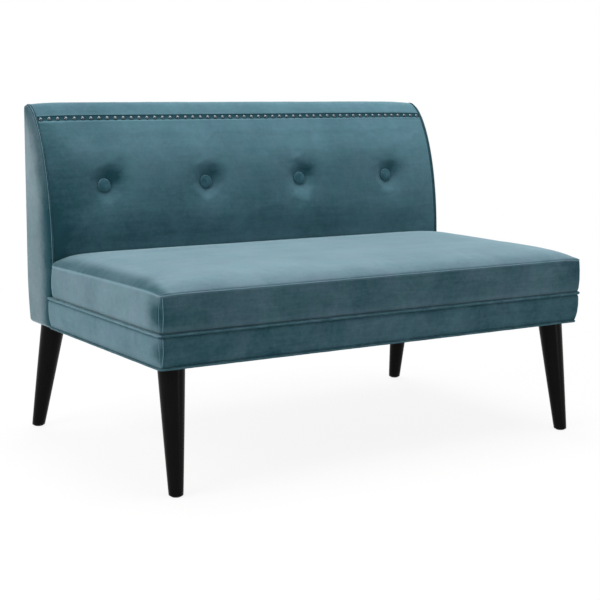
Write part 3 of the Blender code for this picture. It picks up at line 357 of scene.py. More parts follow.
def addMath(tree, kind, *values, clamp=False):
    node = addNode(tree, "Math", dict(enumerate(values)))
    node.operation = kind
    node.use_clamp = clamp
    return node.outputs[0]


def addSum(tree, first, second, *others, clamp=False):
    total = addMath(tree, "ADD", first, second, clamp=clamp)
    for value in others:
        total = addMath(tree, "ADD", total, value)
    return total


def addProduct(tree, first, second, clamp=False):
    return addMath(tree, "MULTIPLY", first, second, clamp=clamp)


def addRange(tree, value, low, high, toLow, toHigh):
    return addNode(tree, "MapRange", {"Value": value, "From Min": low, "From Max": high,
                                      "To Min": toLow, "To Max": toHigh}).outputs["Result"]


def addMix(tree, factor, first, second, blend="MIX"):
    node = tree.nodes.new("ShaderNodeMix")
    node.data_type = "RGBA"
    node.blend_type = blend
    return fill(tree, node, {"Factor": factor, "A": first, "B": second}).outputs["Result"]


def mixShaders(tree, factor, first, second):
    mix = addNode(tree, "MixShader", {"Fac": factor, 1: first.outputs[0], 2: second.outputs[0]})
    return mix.outputs[0]


def newGroup(name, inputs):
    # A tuple makes a colour socket and a number a float socket
    group = bpy.data.node_groups.new(name, "ShaderNodeTree")
    group.interface.new_socket(name="Vector", in_out="INPUT", socket_type="NodeSocketVector")
    for socketName, value in inputs.items():
        kind = "NodeSocketColor" if isinstance(value, tuple) else "NodeSocketFloat"
        socket = group.interface.new_socket(name=socketName, in_out="INPUT", socket_type=kind)
        socket.default_value = (*value, 1.0) if isinstance(value, tuple) else value
    given = group.nodes.new("NodeGroupInput").outputs
    return group, given, given["Vector"]


def finishGroup(group, color, roughness, height):
    results = {"Color": color, "Roughness": roughness, "Height": height}
    for socketName in results:
        kind = "NodeSocketColor" if socketName == "Color" else "NodeSocketFloat"
        group.interface.new_socket(name=socketName, in_out="OUTPUT", socket_type=kind)
    fill(group, group.nodes.new("NodeGroupOutput"), results)
    return group


def makeNapAndShadeGroup():
    # Pile that lies in soft clouds and brushed streaks over a fine grain, on top of the painted light and
    # shade that come in with the lay
    group, given, vector = newGroup("velvetNapAndShade", {
        "Lay and Shade": 0.0, "Pile": (0.1, 0.2, 0.25), "Brushed": (0.2, 0.3, 0.35), "Cloud Scale": 9.0,
        "Cloud Amount": 0.5,
    })
    stretch = addNode(group, "VectorMath", {0: vector, 1: (9.0, 60.0, 105.0)})
    stretch.operation = "MULTIPLY"
    grain = addNoise(group, vector, 900.0, 2.0, 0.7)
    pile = addNoise(group, vector, 2600.0, 1.0, 0.6)
    cloud = addNoise(group, vector, given["Cloud Scale"], 3.0, 0.6, 0.4)
    streak = addNoise(group, stretch.outputs[0], 1.0, 4.0, 0.65, 0.6)
    mottle = addNoise(group, vector, 30.0, 3.0, 0.6, 0.8)
    fleck = addNoise(group, vector, 105.0, 3.0, 0.65, 0.4)
    masks = []
    for noise, reach, amount in ((cloud, 0.16, 0.5), (streak, 0.2, 0.085), (mottle, 0.18, 0.07),
                                 (fleck, 0.18, 0.07), (grain, 0.2, 0.09)):
        masks.append(addRange(group, noise, 0.5 - reach, 0.5 + reach, -amount, amount))
    drift = addSum(group, addProduct(group, masks[0], given["Cloud Amount"]), masks[1])
    layAndShade = addSum(group, given["Lay and Shade"], drift, addSum(group, *masks[2:]))
    factor = addSum(group, addProduct(group, layAndShade, 0.5), 0.5, clamp=True)
    color = addMix(group, factor, given["Pile"], given["Brushed"])
    greener = addMix(group, 1.0, color, (0.95, 1.02, 0.99), "MULTIPLY")
    bluer = addMix(group, 1.0, color, (1.04, 0.99, 1.01), "MULTIPLY")
    hue = addRange(group, addNoise(group, vector, 17.0, 3.0, 0.6), 0.35, 0.65, 0.0, 1.0)
    height = addSum(group, addProduct(group, grain, 0.6), addProduct(group, pile, 0.4))
    rough = addRange(group, factor, 0.0, 1.0, 0.92, 0.74)
    return finishGroup(group, addMix(group, hue, greener, bluer), rough, height)


def makeGrainGroup():
    # Wood rings drawn out along one axis
    group, given, vector = newGroup("woodGrain", {
        "Light Wood": (0.5, 0.35, 0.2), "Dark Wood": (0.3, 0.18, 0.1), "Ring Scale": 30.0,
    })
    rings = addNode(group, "TexWave", {"Vector": vector, "Scale": given["Ring Scale"], "Distortion": 5.0,
                                       "Detail": 3.0, "Detail Scale": 1.2})
    rings.wave_type = "BANDS"
    rings.bands_direction = "Z"
    fibre = addNoise(group, vector, 420.0, 3.0, 0.6)
    ringShare = addProduct(group, rings.outputs["Fac"], 0.7)
    shade = addSum(group, ringShare, addProduct(group, fibre, 0.4), clamp=True)
    return finishGroup(group, addMix(group, shade, given["Light Wood"], given["Dark Wood"]),
                       addRange(group, fibre, 0.3, 0.7, 0.5, 0.72), shade)


def makeSpeckGroup():
    # Fine mottling and small scuffs for lacquer, metal, felt and plastic
    group, given, vector = newGroup("speckWear", {
        "Base": (0.5, 0.5, 0.5), "Worn": (0.6, 0.6, 0.6), "Scale": 200.0, "Amount": 0.3, "Smooth": 0.3,
        "Rough": 0.5,
    })
    speck = addNoise(group, vector, given["Scale"], 4.0, 0.65)
    broad = addRange(group, addNoise(group, vector, 18.0, 2.0, 0.5), 0.3, 0.7, 0.4, 1.4)
    mask = addProduct(group, addRange(group, speck, 0.35, 0.75, 0.0, 1.0), given["Amount"])
    mask = addProduct(group, mask, broad, clamp=True)
    span = addMath(group, "SUBTRACT", given["Rough"], given["Smooth"])
    rough = addSum(group, given["Smooth"], addProduct(group, span, speck))
    return finishGroup(group, addMix(group, mask, given["Base"], given["Worn"]), rough, speck)


def makeWeaveGroup():
    # Crossing threads, one over one
    group, given, vector = newGroup("plainWeave", {
        "Thread": (0.3, 0.3, 0.3), "Hollow": (0.1, 0.1, 0.1), "Threads": 600.0,
    })
    split = addNode(group, "SeparateXYZ", {0: vector})
    waves = []
    for axis in ("X", "Y"):
        turns = addProduct(group, split.outputs[axis], given["Threads"])
        waves.append(addMath(group, "SINE", addProduct(group, turns, 2 * math.pi)))
    cross = addRange(group, addProduct(group, *waves), -1.0, 1.0, 0.15, 0.85)
    fuzz = addRange(group, addNoise(group, vector, 1500.0, 2.0, 0.6), 0.3, 0.7, -0.12, 0.12)
    height = addSum(group, cross, fuzz, clamp=True)
    return finishGroup(group, addMix(group, height, given["Hollow"], given["Thread"]),
                       addRange(group, height, 0.0, 1.0, 0.95, 0.8), height)


napAndShadeGroup = makeNapAndShadeGroup()
grainGroup = makeGrainGroup()
speckGroup = makeSpeckGroup()
weaveGroup = makeWeaveGroup()


def newMaterial(name, group, values, shader, bump, stretch=(1.0, 1.0, 1.0)):
    material = bpy.data.materials.new(name)
    material.use_nodes = True
    tree = material.node_tree
    coordinates = tree.nodes.new("ShaderNodeTexCoord")
    mapping = addNode(tree, "Mapping", {"Vector": coordinates.outputs["Object"], "Scale": stretch})
    look = tree.nodes.new("ShaderNodeGroup")
    look.node_tree = group
    fill(tree, look, {"Vector": mapping.outputs["Vector"], **values})
    relief = addNode(tree, "Bump", {"Strength": bump[0], "Distance": bump[1],
                                    "Height": look.outputs["Height"]})
    fill(tree, tree.nodes["Principled BSDF"], {
        "Base Color": look.outputs["Color"], "Roughness": look.outputs["Roughness"],
        "Normal": relief.outputs["Normal"], **shader,
    })
    return material


def speckMaterial(name, base, worn, scale, amount, finish, shader, bump, stretch=(1.0, 1.0, 1.0)):
    values = {"Base": base, "Worn": worn, "Scale": scale, "Amount": amount, "Smooth": finish[0],
              "Rough": finish[1]}
    return newMaterial(name, speckGroup, values, shader, bump, stretch)


# The velvet: one cloth, laid with its pile in a different direction on each panel; each panel's copy also
# paints the light that falls on it through its lay and tint

velvet = {
    # The dark and the light look of the pile: each point lies between them, moved by random clouds and by
    # painted light and shade
    "pile": (0.0105, 0.049, 0.066),
    "brushed": (0.164, 0.262, 0.318),
    "shader": {"Sheen Weight": 0.66, "Sheen Roughness": 0.34, "Sheen Tint": (0.54, 0.78, 0.86),
               "Specular IOR Level": 0.10},
    "bump": (0.35, 0.0004),
}


def velvetMaterial(name, layAndShade, cloudScale, cloudAmount, tint=(1.0, 1.0, 1.0)):
    brushed = tuple(value * share for value, share in zip(velvet["brushed"], tint))
    material = newMaterial(name, napAndShadeGroup, {
        "Pile": velvet["pile"], "Brushed": brushed, "Cloud Scale": cloudScale, "Cloud Amount": cloudAmount,
    }, velvet["shader"], velvet["bump"])
    tree = material.node_tree
    # Each point's painted light and shade is added to the panel's lay
    attribute = tree.nodes.new("ShaderNodeAttribute")
    attribute.attribute_name = "paintedShading"
    fill(tree, tree.nodes["Group"], {"Lay and Shade": addMath(tree, "ADD", attribute.outputs["Fac"], layAndShade)})
    return material


# Painted light by panel: the end pads' copy lighter and greyer where the key lamp falls, the buttons' copy
# darker down in the tufts
velvetSeat = velvetMaterial("velvetSeat", 0.29, 7.0, 0.34)
velvetBack = velvetMaterial("velvetBack", 0.0, 6.0, 0.30, (0.73, 0.94, 0.96))
velvetEnd = velvetMaterial("velvetEnd", 0.14, 8.0, 0.30, (1.18, 1.02, 0.98))
velvetBand = velvetMaterial("velvetBand", 0.0, 10.0, 0.30, (0.90, 0.98, 1.0))
velvetSeam = velvetMaterial("velvetSeam", 0.12, 30.0, 0.3, (0.86, 0.98, 1.0))
velvetButton = velvetMaterial("velvetButton", -0.54, 40.0, 0.4, (0.62, 0.95, 1.0))
print("velvet ready")


# Seat cushion: a crowned top sewn to an upright boxing, over its foam

seat = {
    "cell": 0.0078,
    "proud": 0.0025,
    "frontCorner": 0.006,
    "rearCorner": 0.026,
    "cover": 0.003,
    "topInset": 0.0014,
    "crown": 0.028,
    "crownReach": 0.033,
    "crownPower": 0.85,
    "levelInset": 0.230,
    "rearDrop": 0.40,
    "rearDropReach": 0.120,
    "cornerDip": 0.0025,
    "cornerDipReach": 0.030,
    "sideSag": 0.0090,
    "sideSagReach": 0.050,
    "sideSagPower": 1.5,
    "boxingBulge": 0.0030,
    "foamInset": 0.0046,
    "pucker": (0.00012, 0.046),     # height and wavelength
    "cornerFolds": 0.0011,
    "unevenness": 0.0006,
    "seamFold": ((0.0002, 0.0017), (0.0007, 0.0007), (0.0022, 0.0), (0.0008, -0.0010), (0.0001, -0.0022)),
    # Painted light and shade on the boxing, on the sides and on the front: a plain tone with the front much
    # darker, a line along the bottom above the cord (painted shadow on the sides, lighter on the front), its
    # reach, and painted shade near the front corners; seamTone paints a light line along the seam fold
    "sideTones": (0.0, -0.75, 0.004, 1.45),       # plain, low line, its reach and the corner
    "frontTones": (-0.90, 0.30, 0.014, 0.20),
    "seamTone": 0.55,
    # Painted light on the top: a lighter crown, shade on the left and right slopes, a touch lighter near the
    # front
    "topTones": {"middle": 0.14, "leftSlope": 1.15, "rightSlope": 0.55, "frontSlope": 0.02},
    "cloth": {"stiffness": 15, "bending": 1.5, "pressure": 3.0, "shrink": -0.005, "frames": 16,
              "cap": 0.004, "keep": 0.30},
}
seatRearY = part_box("seat_top_cover")[1][1]
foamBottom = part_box("seat_foam")[0][2]
boxingBottom = boxingBox[0][2]


def crownShare(distance):
    reach = np.maximum(distance, 0.0) / seat["crownReach"]
    full = 1 - math.exp(-(seat["levelInset"] / seat["crownReach"]) ** seat["crownPower"])
    return np.minimum((1 - np.exp(-reach ** seat["crownPower"])) / full, 1.0)


def seatCrown(x, y):
    side = crownShare(half + seat["proud"] - np.abs(x))
    front = crownShare(y - frontY + seat["proud"])
    near = 1 - np.clip((seatRearY - y) / seat["rearDropReach"], 0.0, 1.0)
    return seat["crown"] * side * front * (1 - seat["rearDrop"] * near * near)


def seamDrop(x, y):
    corner = seat["cornerDip"] * hump(np.hypot(half - np.abs(x), y - frontY), seat["cornerDipReach"])
    along = np.clip((y - frontY) / (seatRearY - frontY), 0.0, 1.0)
    side = hump(half - np.abs(x), seat["sideSagReach"])
    return corner + seat["sideSag"] * along ** seat["sideSagPower"] * side


def seatOutline():
    # Rows from front to rear with the half width at each, round at the four corners
    inset = seat["topInset"]
    front, rear = frontY - seat["proud"] + inset, seatRearY - inset
    frontCorner, rearCorner = seat["frontCorner"] - inset, seat["rearCorner"] - inset
    first = front + frontCorner * (1 - np.cos(np.linspace(0, math.pi / 2, 5)))
    last = rear - rearCorner + rearCorner * np.sin(np.linspace(0, math.pi / 2, 12))
    count = int((last[0] - first[-1]) / seat["cell"])
    ys = np.concatenate([first, np.linspace(first[-1], last[0], count + 1)[1:-1], last])
    toFront = np.clip(front + frontCorner - ys, 0.0, frontCorner)
    toRear = np.clip(ys - (rear - rearCorner), 0.0, rearCorner)
    halves = half + seat["proud"] - inset - frontCorner + np.sqrt(frontCorner ** 2 - toFront ** 2)
    return ys, halves - rearCorner + np.sqrt(rearCorner ** 2 - toRear ** 2)


def seatTop():
    # The crowned top's points, with their distance from the front, the side and the nearest edge
    ys, halves = seatOutline()
    across = np.linspace(-1, 1, int(2 * half / seat["cell"]) + 1)
    x = halves[:, None] * across
    y = np.repeat(ys[:, None], len(across), axis=1)
    z = seamZ + seat["cover"] + seatCrown(x, y) - seamDrop(x, y)
    fromFront, fromSide = y - ys[0], halves[:, None] - np.abs(x)
    edge = np.minimum(np.minimum(fromFront, fromSide), ys[-1] - y)
    pucker, wave = seat["pucker"]
    z += pucker * ripple(np.where(fromFront < fromSide, x, y), wave) * hump(edge - 0.011, 0.012)
    cornerX, cornerY = half - np.abs(x), y - frontY
    folds = np.cos(np.arctan2(cornerY, cornerX) * 7 + 0.6) * hump(np.hypot(cornerX, cornerY) - 0.020, 0.014)
    z += seat["cornerFolds"] * folds
    z += seat["unevenness"] * (ripple(x, 0.41) + ripple(y, 0.27, 1.0)) * smoothStep(edge / 0.08)
    return np.stack([x, y, z], axis=-1), fromFront, fromSide, edge


def seatTopPaintedShade(x, fromFront, fromSide, edge):
    # Painted shade down the slopes beside the side seams, most on the left, and a lighter crown away from the
    # edges
    past = smoothStep((fromFront - 0.02) / 0.10)
    sideSlope = 1 - smoothStep((fromSide - 0.006 - 0.004 * past) / (0.026 + 0.020 * past))
    frontSlope = 1 - smoothStep((fromFront - 0.008) / 0.026)
    tones = seat["topTones"]
    side = np.where(x < 0, tones["leftSlope"], tones["rightSlope"]) * sideSlope * (0.95 + 0.05 * past)
    shade = tones["middle"] * smoothStep(edge / 0.055) - side
    return shade + tones["frontSlope"] * frontSlope * (1 - sideSlope)


def boxingOut(share):
    bulge = seat["boxingBulge"]
    return np.interp(share, (0.0, 0.05, 0.14, 0.40, 0.70, 1.0),
                     (-0.6 * bulge, 0.1 * bulge, 0.55 * bulge, bulge, 0.8 * bulge, 0.0))


def boxingRings():
    # Inset, height, share of the seam's dip and share of the swell, from the top's border downwards
    rings = [(inset, seamZ + rise, 1.0, 0.0) for inset, rise in seat["seamFold"]]
    for share in np.linspace(0.955, 0.0, 14):
        level = boxingBottom + (boxingBox[1][2] - boxingBottom) * share
        rings.append((-boxingOut(share), level, share, math.sin(math.pi * share)))
    return rings + [(seat["foamInset"], level, 0.0, 0.0) for level in (boxingBottom, foamBottom)]


def makeSeatCushion():
    top, fromFront, fromSide, edge = seatTop()
    rowCount, columnCount = edge.shape
    loop = [(0, c) for c in range(columnCount)] + [(r, columnCount - 1) for r in range(1, rowCount)]
    loop += [(rowCount - 1, c) for c in range(columnCount - 2, -1, -1)]
    loop = np.array(loop + [(r, 0) for r in range(rowCount - 2, 0, -1)])
    border = top[loop[:, 0], loop[:, 1]]
    ahead = np.roll(border, -1, axis=0)[:, :2] - np.roll(border, 1, axis=0)[:, :2]
    ahead /= np.linalg.norm(ahead, axis=1)[:, None]
    outward = np.stack([ahead[:, 1], -ahead[:, 0]], axis=1)
    distance = pathLengths(border[:, 0], border[:, 1])
    dips = seamDrop(border[:, 0], border[:, 1])
    atCorner = hump(np.hypot(half - np.abs(border[:, 0]), border[:, 1] - frontY), 0.046)
    isSide = np.abs(outward[:, 0]) > 0.4

    points = [top.reshape(-1, 3)]
    free = [smoothStep((edge - 0.004) / 0.035).ravel()]
    paintedShading = [seatTopPaintedShade(top[:, :, 0], fromFront, fromSide, edge).ravel()]
    faces = gridFaces(rowCount, columnCount, tube=False)
    upper = loop[:, 0] * columnCount + loop[:, 1]
    for inset, level, dipShare, swell in boxingRings():
        shift = seat["topInset"] - inset + 0.00018 * ripple(distance, 0.117, level * 40) * swell
        points.append(np.column_stack([border[:, :2] + outward * shift[:, None], level - dips * dipShare]))
        free.append(0.8 * swell * (1 - 0.85 * atCorner))
        # The seam fold's painted light line, the line along the bottom and the corners' painted shade
        onFold = 0.0 < inset < 0.0010 and level > seamZ - 0.003
        tones = []
        for plain, lowLine, reach, corner in (seat["sideTones"], seat["frontTones"]):
            tone = plain + (seat["seamTone"] if onFold else 0.0) + lowLine * hump(level - boxingBottom, reach)
            tones.append(tone - corner * atCorner * max(swell, 0.4))
        paintedShading.append(np.where(isSide, *tones))
        lower = sum(map(len, points)) - len(loop) + np.arange(len(loop))
        faces += np.stack([lower, np.roll(lower, -1), np.roll(upper, -1), upper], axis=1).tolist()
        upper = lower
    piece = meshPiece("seat_cushion", np.concatenate(points), faces)
    sewn(piece, np.concatenate(paintedShading), velvetSeat, 60, np.concatenate(free), seat["cloth"])
    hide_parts("seat_top_cover", "seat_boxing", "seat_foam")
    return border, outward, distance, dips


seatEdge = makeSeatCushion()
print("seat cushion ready")


# Back cushion: bulged inside face with four tufts and the recessed nail channel

back = {
    "cell": 0.0064,
    "tuftDepth": 0.0200,
    "tuftReach": 0.034,
    "tuftFolds": 0.0009,
    "buttonRadius": 0.0180,
    "channelHalf": 0.0068,
    "channelDepth": 0.0013,
    "lip": 0.0005,
    "foamDepth": 0.0342,
    # Painted: a light lip below the nails and shadow in the channel under the top band, then the face's light
    # and shade and the shade round each tuft
    "lipTones": [0.15, 0.60, 0.60, 0.1, -0.7, -1.0, -1.5],
    "tones": {"low": -0.46, "rise": 0.60, "right": 0.21, "leftEdge": -0.36},
    "tuftTones": ((0.023, 0.023, 1.15, 0.026, -0.82),       # right, up, stretch, reach and tone
                  (-0.012, 0.070, 1.3, 0.036, 0.34), (-0.003, -0.034, 1.0, 0.024, 0.24)),
    "cloth": {"stiffness": 15, "bending": 0.5, "pressure": 2.5, "shrink": -0.012, "frames": 16,
              "cap": 0.003, "keep": 1.0},
}
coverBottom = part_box("back_inside_cover")[0][2]
topRailFront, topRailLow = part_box("back_top_rail")[0][1:]
channelStart, channelEnd = nailLength - back["channelHalf"], nailLength + back["channelHalf"]
backColumns = np.linspace(-coverHalf, coverHalf, int(2 * coverHalf / back["cell"]) + 1)


def faceBulge(x, z):
    low = smoothStep((z - seamZ - 0.020) / section["bulgeReach"])
    high = smoothStep((nailZ - 0.012 - z) / section["bulgeReach"])
    bulge = section["bulge"] * smoothStep((coverHalf - np.abs(x)) / section["bulgeReach"]) * low * high
    pull, folds = np.zeros(len(z)), np.zeros(len(z))
    for buttonX in buttonXs:
        beyond = np.maximum(np.hypot(x - buttonX, z - buttonZ) - 0.9 * back["buttonRadius"], 0.0)
        pull = np.maximum(pull, np.exp(-(beyond / back["tuftReach"]) ** 1.5))
        turn = np.arctan2(z - buttonZ, x - buttonX)
        folds += back["tuftFolds"] * np.cos(turn * 5 + buttonX * 9 + 0.7) * hump(beyond - 0.014, 0.013)
    return bulge - (back["tuftDepth"] + bulge) * pull * low * high + folds


def frameLineRear(z):
    heights = np.array([coverBottom - gap, seamZ + 0.028, buttonZ - 0.060, buttonZ, buttonZ + 0.034,
                        topZ - 0.081])
    return np.interp(z, heights, backFrontY(heights)) + back["foamDepth"]


def backFacePaintedShade(x, z):
    # Painted light and shade on the inside back: lighter towards the top and the right, shade along the left
    # edge, and round each button a dark lobe up and to the right with lighter lobes above it and below it
    tones = back["tones"]
    shade = tones["rise"] * smoothStep((z - seamZ - 0.07) / 0.32) + tones["low"]
    shade = shade + tones["right"] * x / half + tones["leftEdge"] * (1 - smoothStep((x + coverHalf) / 0.12))
    for buttonX in buttonXs:
        for right, up, stretch, reach, tone in back["tuftTones"]:
            shade = shade + tone * hump(np.hypot((x - buttonX - right) / stretch, z - buttonZ - up), reach)
    return shade


def makeBackCushion():
    start, depth, lipOut = lengthAt(coverBottom), back["channelDepth"], back["lip"]
    count = int((channelStart - 0.006 - start) / back["cell"])
    face = np.linspace(start, channelStart - 0.006, count + 1)
    z = sectionPoint(face)[1]
    lip = [(channelStart + along, out) for along, out in (
        (-0.0035, 0.0), (-0.0018, lipOut), (-0.0006, 0.6 * lipOut), (0.0002, -0.6 * depth), (0.0010, -depth))]
    lip += [(nailLength, -depth), (channelEnd - gap, -depth)]
    rear = topRailFront - gap
    foamZs = np.linspace(topRailLow - 0.004, coverBottom, 14)
    foamYs = np.minimum(frameLineRear(foamZs), rear)
    rearPoints = [(rear, nailZ + 0.001), (rear, topRailLow + 0.004), *zip(foamYs, foamZs)]
    behind = np.zeros(1 + len(rearPoints))
    rings, free, paintedShading = [], [], []
    for x in backColumns:
        ring = list(offSection(np.full(len(face), x), face, faceBulge(x, z)))
        ring += [offSection(x, length, out) for length, out in lip + [(channelEnd - gap, -depth - 0.002)]]
        rings.append(ring + [np.array((x, *place)) for place in rearPoints])
        fromButton = np.min([np.hypot(x - buttonX, z - buttonZ) for buttonX in buttonXs], axis=0)
        loose = smoothStep((coverHalf - abs(x)) / 0.05) * smoothStep((fromButton - 0.019) / 0.03)
        loose = loose * smoothStep((z - seamZ + 0.01) / 0.06) * smoothStep((nailZ - 0.014 - z) / 0.04)
        free.append(np.concatenate([loose, np.zeros(len(lip)), behind]))
        paintedShading.append(np.concatenate([backFacePaintedShade(x, z), back["lipTones"], behind]))
    piece = loftPiece("back_cushion", rings)
    sewn(piece, np.concatenate(paintedShading), velvetBack, 50, np.concatenate(free), back["cloth"])
    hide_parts("back_inside_cover", "back_foam")


makeBackCushion()
print("back cushion ready")


# Top band over the nails, the outside cover and the two end pads

topBand = {
    "thickness": 0.0030,
    "swell": ((0.0006, 0.33, 0.0), (0.0003, 0.09, 2.0)),     # height, wavelength and start
    # Painted: shadow at the channel's upper edge, then a light lip, a face lighter towards the right end and
    # a highlight over the top arc
    "lipTones": [-1.5, -0.9, 0.10, 0.05],
    "faceTone": (0.07, 0.28),                                # in the middle, and added at the right end
    "arcTones": [0.10, 0.2, 0.2, 0.1, 0.0, 0.0],
}


def makeTopBand():
    start, lipOut = channelEnd, back["lip"]
    rows = [(start, -back["channelDepth"]), (start + 0.0006, -0.0004), (start + 0.0016, lipOut),
            (start + 0.0032, lipOut * 0.7)]
    for begin, reach, shares in ((start + 0.006, topLength - start - 0.006, (0.0, 0.3, 0.6, 0.85, 1.0)),
                                 (topLength, arcEndLength - topLength, (0.25, 0.5, 0.75, 1.0)),
                                 (arcEndLength, topRadius, (0.5, 1.0))):
        rows += [(begin + reach * share, 0.0) for share in shares]
    rings, paintedShading = [], []
    middle, toRight = topBand["faceTone"]
    for x in backColumns:
        swell = sum(height * ripple(x, wave, begin) for height, wave, begin in topBand["swell"])
        outer = []
        for length, out in rows:
            share = min(max((length - start) / (arcEndLength - start), 0.0), 1.0)
            outer.append(offSection(x, length, out + swell * math.sin(math.pi * share)))
        inner = [offSection(x, length, -topBand["thickness"]) for length, out in rows]
        rings.append(outer + inner[::-1])
        face = [middle + toRight * x / half] * 5
        paintedShading.append(topBand["lipTones"] + face + topBand["arcTones"] + [0.0] * len(rows))
    piece = loftPiece("back_top_band", rings)
    sewn(piece, np.concatenate(paintedShading), velvetBack, 50)
    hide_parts("back_top_cover")


outside = {
    "lift": 0.001,
    "crown": 0.003,
    "thickness": 0.002,
    "tension": 0.0004,
    "edgeRoll": 0.0012,
    "cell": 0.012,
    "cloth": {"stiffness": 20, "bending": 1.0, "pressure": 1.5, "shrink": -0.006, "frames": 12,
              "cap": 0.002, "keep": 1.0},
}


def makeOutsideCover():
    low, high, wide = padBottom + outside["lift"], topZ - 2 * topRadius - gap, edgeOuterX
    zs = np.linspace(low, high, int((high - low) / outside["cell"]) + 1)
    still = np.zeros(len(zs))
    rings, free, paintedShading = [], [], []
    for x in np.linspace(-wide, wide, int(2 * wide / outside["cell"]) + 1):
        edge = np.minimum(np.minimum(zs - low, high - zs), wide - abs(x))
        crown = outside["crown"] * (1 - abs(x / wide) ** 3) * np.sin(math.pi * (zs - low) / (high - low))
        tension = outside["tension"] * ripple(x + zs * 0.2, 0.19) * hump(edge, 0.05) * smoothStep(edge / 0.01)
        roll = outside["edgeRoll"] * (1 - np.clip(edge / 0.006, 0, 1)) ** 2
        outer = np.column_stack([0 * zs + x, backRearY(zs) + crown + tension - roll, zs + topCrown(x, zs)])
        inner = outer[::-1].copy()
        inner[:, 1] = (backRearY(zs) - outside["thickness"])[::-1]
        rings.append(np.concatenate([outer, inner]))
        free.append(np.concatenate([smoothStep((edge - 0.004) / 0.06), still]))
        # Painted shade, darker along the edges where the cover rolls over
        paintedShading.append(np.concatenate([0.05 - 0.18 * hump(edge, 0.02), still]))
    piece = loftPiece("outside_back", rings)
    sewn(piece, np.concatenate(paintedShading), velvetEnd, 50, np.concatenate(free), outside["cloth"])
    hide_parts("back_outside_cover")


endPad = {
    "frontRoll": (0.026, 0.50),     # radius of the wide roll, and its share of the thickness
    "rearRoll": (0.014, 0.40),
    "bottomRoll": (0.014, 0.25),
    "edgeRoll": 0.0032,
    "rows": (30, 64),
    "columns": 20,
    "ripple": 0.0004,
    # Painted light and shade on the pads, laid out below
    "tones": {"low": 0.17, "rise": 0.50, "frontEdge": -1.45, "rearEdge": 0.15, "bottom": 0.3},
    "cloth": {"stiffness": 15, "bending": 0.6, "pressure": 2.0, "shrink": -0.008, "frames": 12,
              "cap": 0.0015, "keep": 1.0},
}


def rollOver(distance, radius):
    left = 1 - np.clip(distance / radius, 0.0, 1.0)
    return np.sqrt(np.maximum(1 - left * left, 0.0))


def makeEndPad(sideName, sign):
    zs = sectionHeights(*endPad["rows"], math.pi / 2 * 0.985)
    share = 0.5 - 0.5 * np.cos(np.linspace(0, math.pi, endPad["columns"]))
    front, rear = backFrontY(zs), backRearY(zs)
    above = np.clip(zs - (topZ - topRadius), 0.0, topRadius)
    rear = np.where(above > 0, rearY - topRadius + np.sqrt(topRadius ** 2 - above ** 2), rear)
    y = front[:, None] + (rear - front)[:, None] * share
    z = np.repeat(zs[:, None], len(share), axis=1)
    toFront = (y - front[:, None]) / np.sqrt(1 + np.gradient(front, zs)[:, None] ** 2)
    toRear, toBottom = rear[:, None] - y, z - padBottom
    edge = np.minimum(np.minimum(toFront, toRear), toBottom)
    lift = 1.0
    for distance, key in ((toFront, "frontRoll"), (toRear, "rearRoll"), (toBottom, "bottomRoll")):
        radius, part = endPad[key]
        narrow = (1 - part) * rollOver(distance, endPad["edgeRoll"])
        lift = lift * (narrow + part * rollOver(distance, radius))
    out = shell["padThickness"] * lift + shell["padCrown"] * smoothStep(edge / 0.05)
    out = out + endPad["ripple"] * ripple(z, 0.21) * smoothStep(edge / 0.03)
    piece = loftPiece("end_pad_" + sideName, np.stack([sign * (padInnerX + out), y, z], axis=-1), tube=False)
    # Painted light and shade: lighter towards the top, a wide band of painted shade along the front edge,
    # thin painted highlights along the rear and the bottom edges
    tones = endPad["tones"]
    paintedShading = tones["low"] + tones["rise"] * smoothStep((z - seamZ) / 0.32)
    paintedShading = paintedShading + tones["frontEdge"] * hump(toFront - 0.008, 0.036) + tones["rearEdge"] * hump(toRear, 0.006)
    paintedShading = paintedShading + tones["bottom"] * hump(toBottom, 0.0025)
    sewn(piece, paintedShading.ravel(), velvetEnd, 50, smoothStep((edge - 0.003) / 0.03).ravel(), endPad["cloth"])
    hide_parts("back_side_pad_" + sideName)


makeTopBand()
makeOutsideCover()
for sideName, sign in bothSides:
    makeEndPad(sideName, sign)
print("back panels ready")


# Double-stitched edge bands that frame the inside back

edgeBand = {
    "ridge": 0.0015,
    "valley": -0.0001,
    "depth": 0.0030,
    # Painted light and shade across each band's points: the left band dark with one light line along its
    # outer ridge, the right band in painted shade all across
    "tones": {"left": [-1.4, -1.2, -0.8, -1.0, -1.5, -1.6, -1.5, -0.2, 0.6, -0.9, -1.6, -1.0, -1.0],
              "right": [-1.2, -1.2, -1.0, -1.1, -1.3, -1.3, -1.3, -1.2, -1.2, -1.3, -1.3, -1.3, -1.3]},
    "stitchPitch": 0.0042,
    "stitchLength": 0.0029,
    "stitchRadius": 0.00035,
}


def makeEdgeBand(sideName, sign):
    ridge, valley, depth = edgeBand["ridge"], edgeBand["valley"], edgeBand["depth"]
    side = [(0.0, -0.0003), (0.06, 0.0009), (0.18, ridge), (0.32, 0.8 * ridge), (0.43, 0.0003)]
    profile = side + [(0.5, valley)] + [(1 - share, out) for share, out in side[::-1]]
    profile += [(1.0, -depth), (0.0, -depth)]
    lengths = [*np.arange(0.0, topLength - 0.012, 0.006), *np.linspace(topLength - 0.010, arcEndLength, 9),
               *(arcEndLength + topRadius * np.array([0.4, 0.8, 1.0]))]
    rings = []
    for length in lengths:
        wobble = 0.0002 * math.sin(length * 190)
        rings.append([offSection(sign * (edgeInnerX + shell["edgeBandWidth"] * share), length,
                                 out + (wobble if out > 0 else 0.0)) for share, out in profile])
    piece = loftPiece("edge_band_" + sideName, rings)
    sewn(piece, edgeBand["tones"][sideName] * len(rings), velvetSeam, 60)
    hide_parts("back_edge_welt_" + sideName)


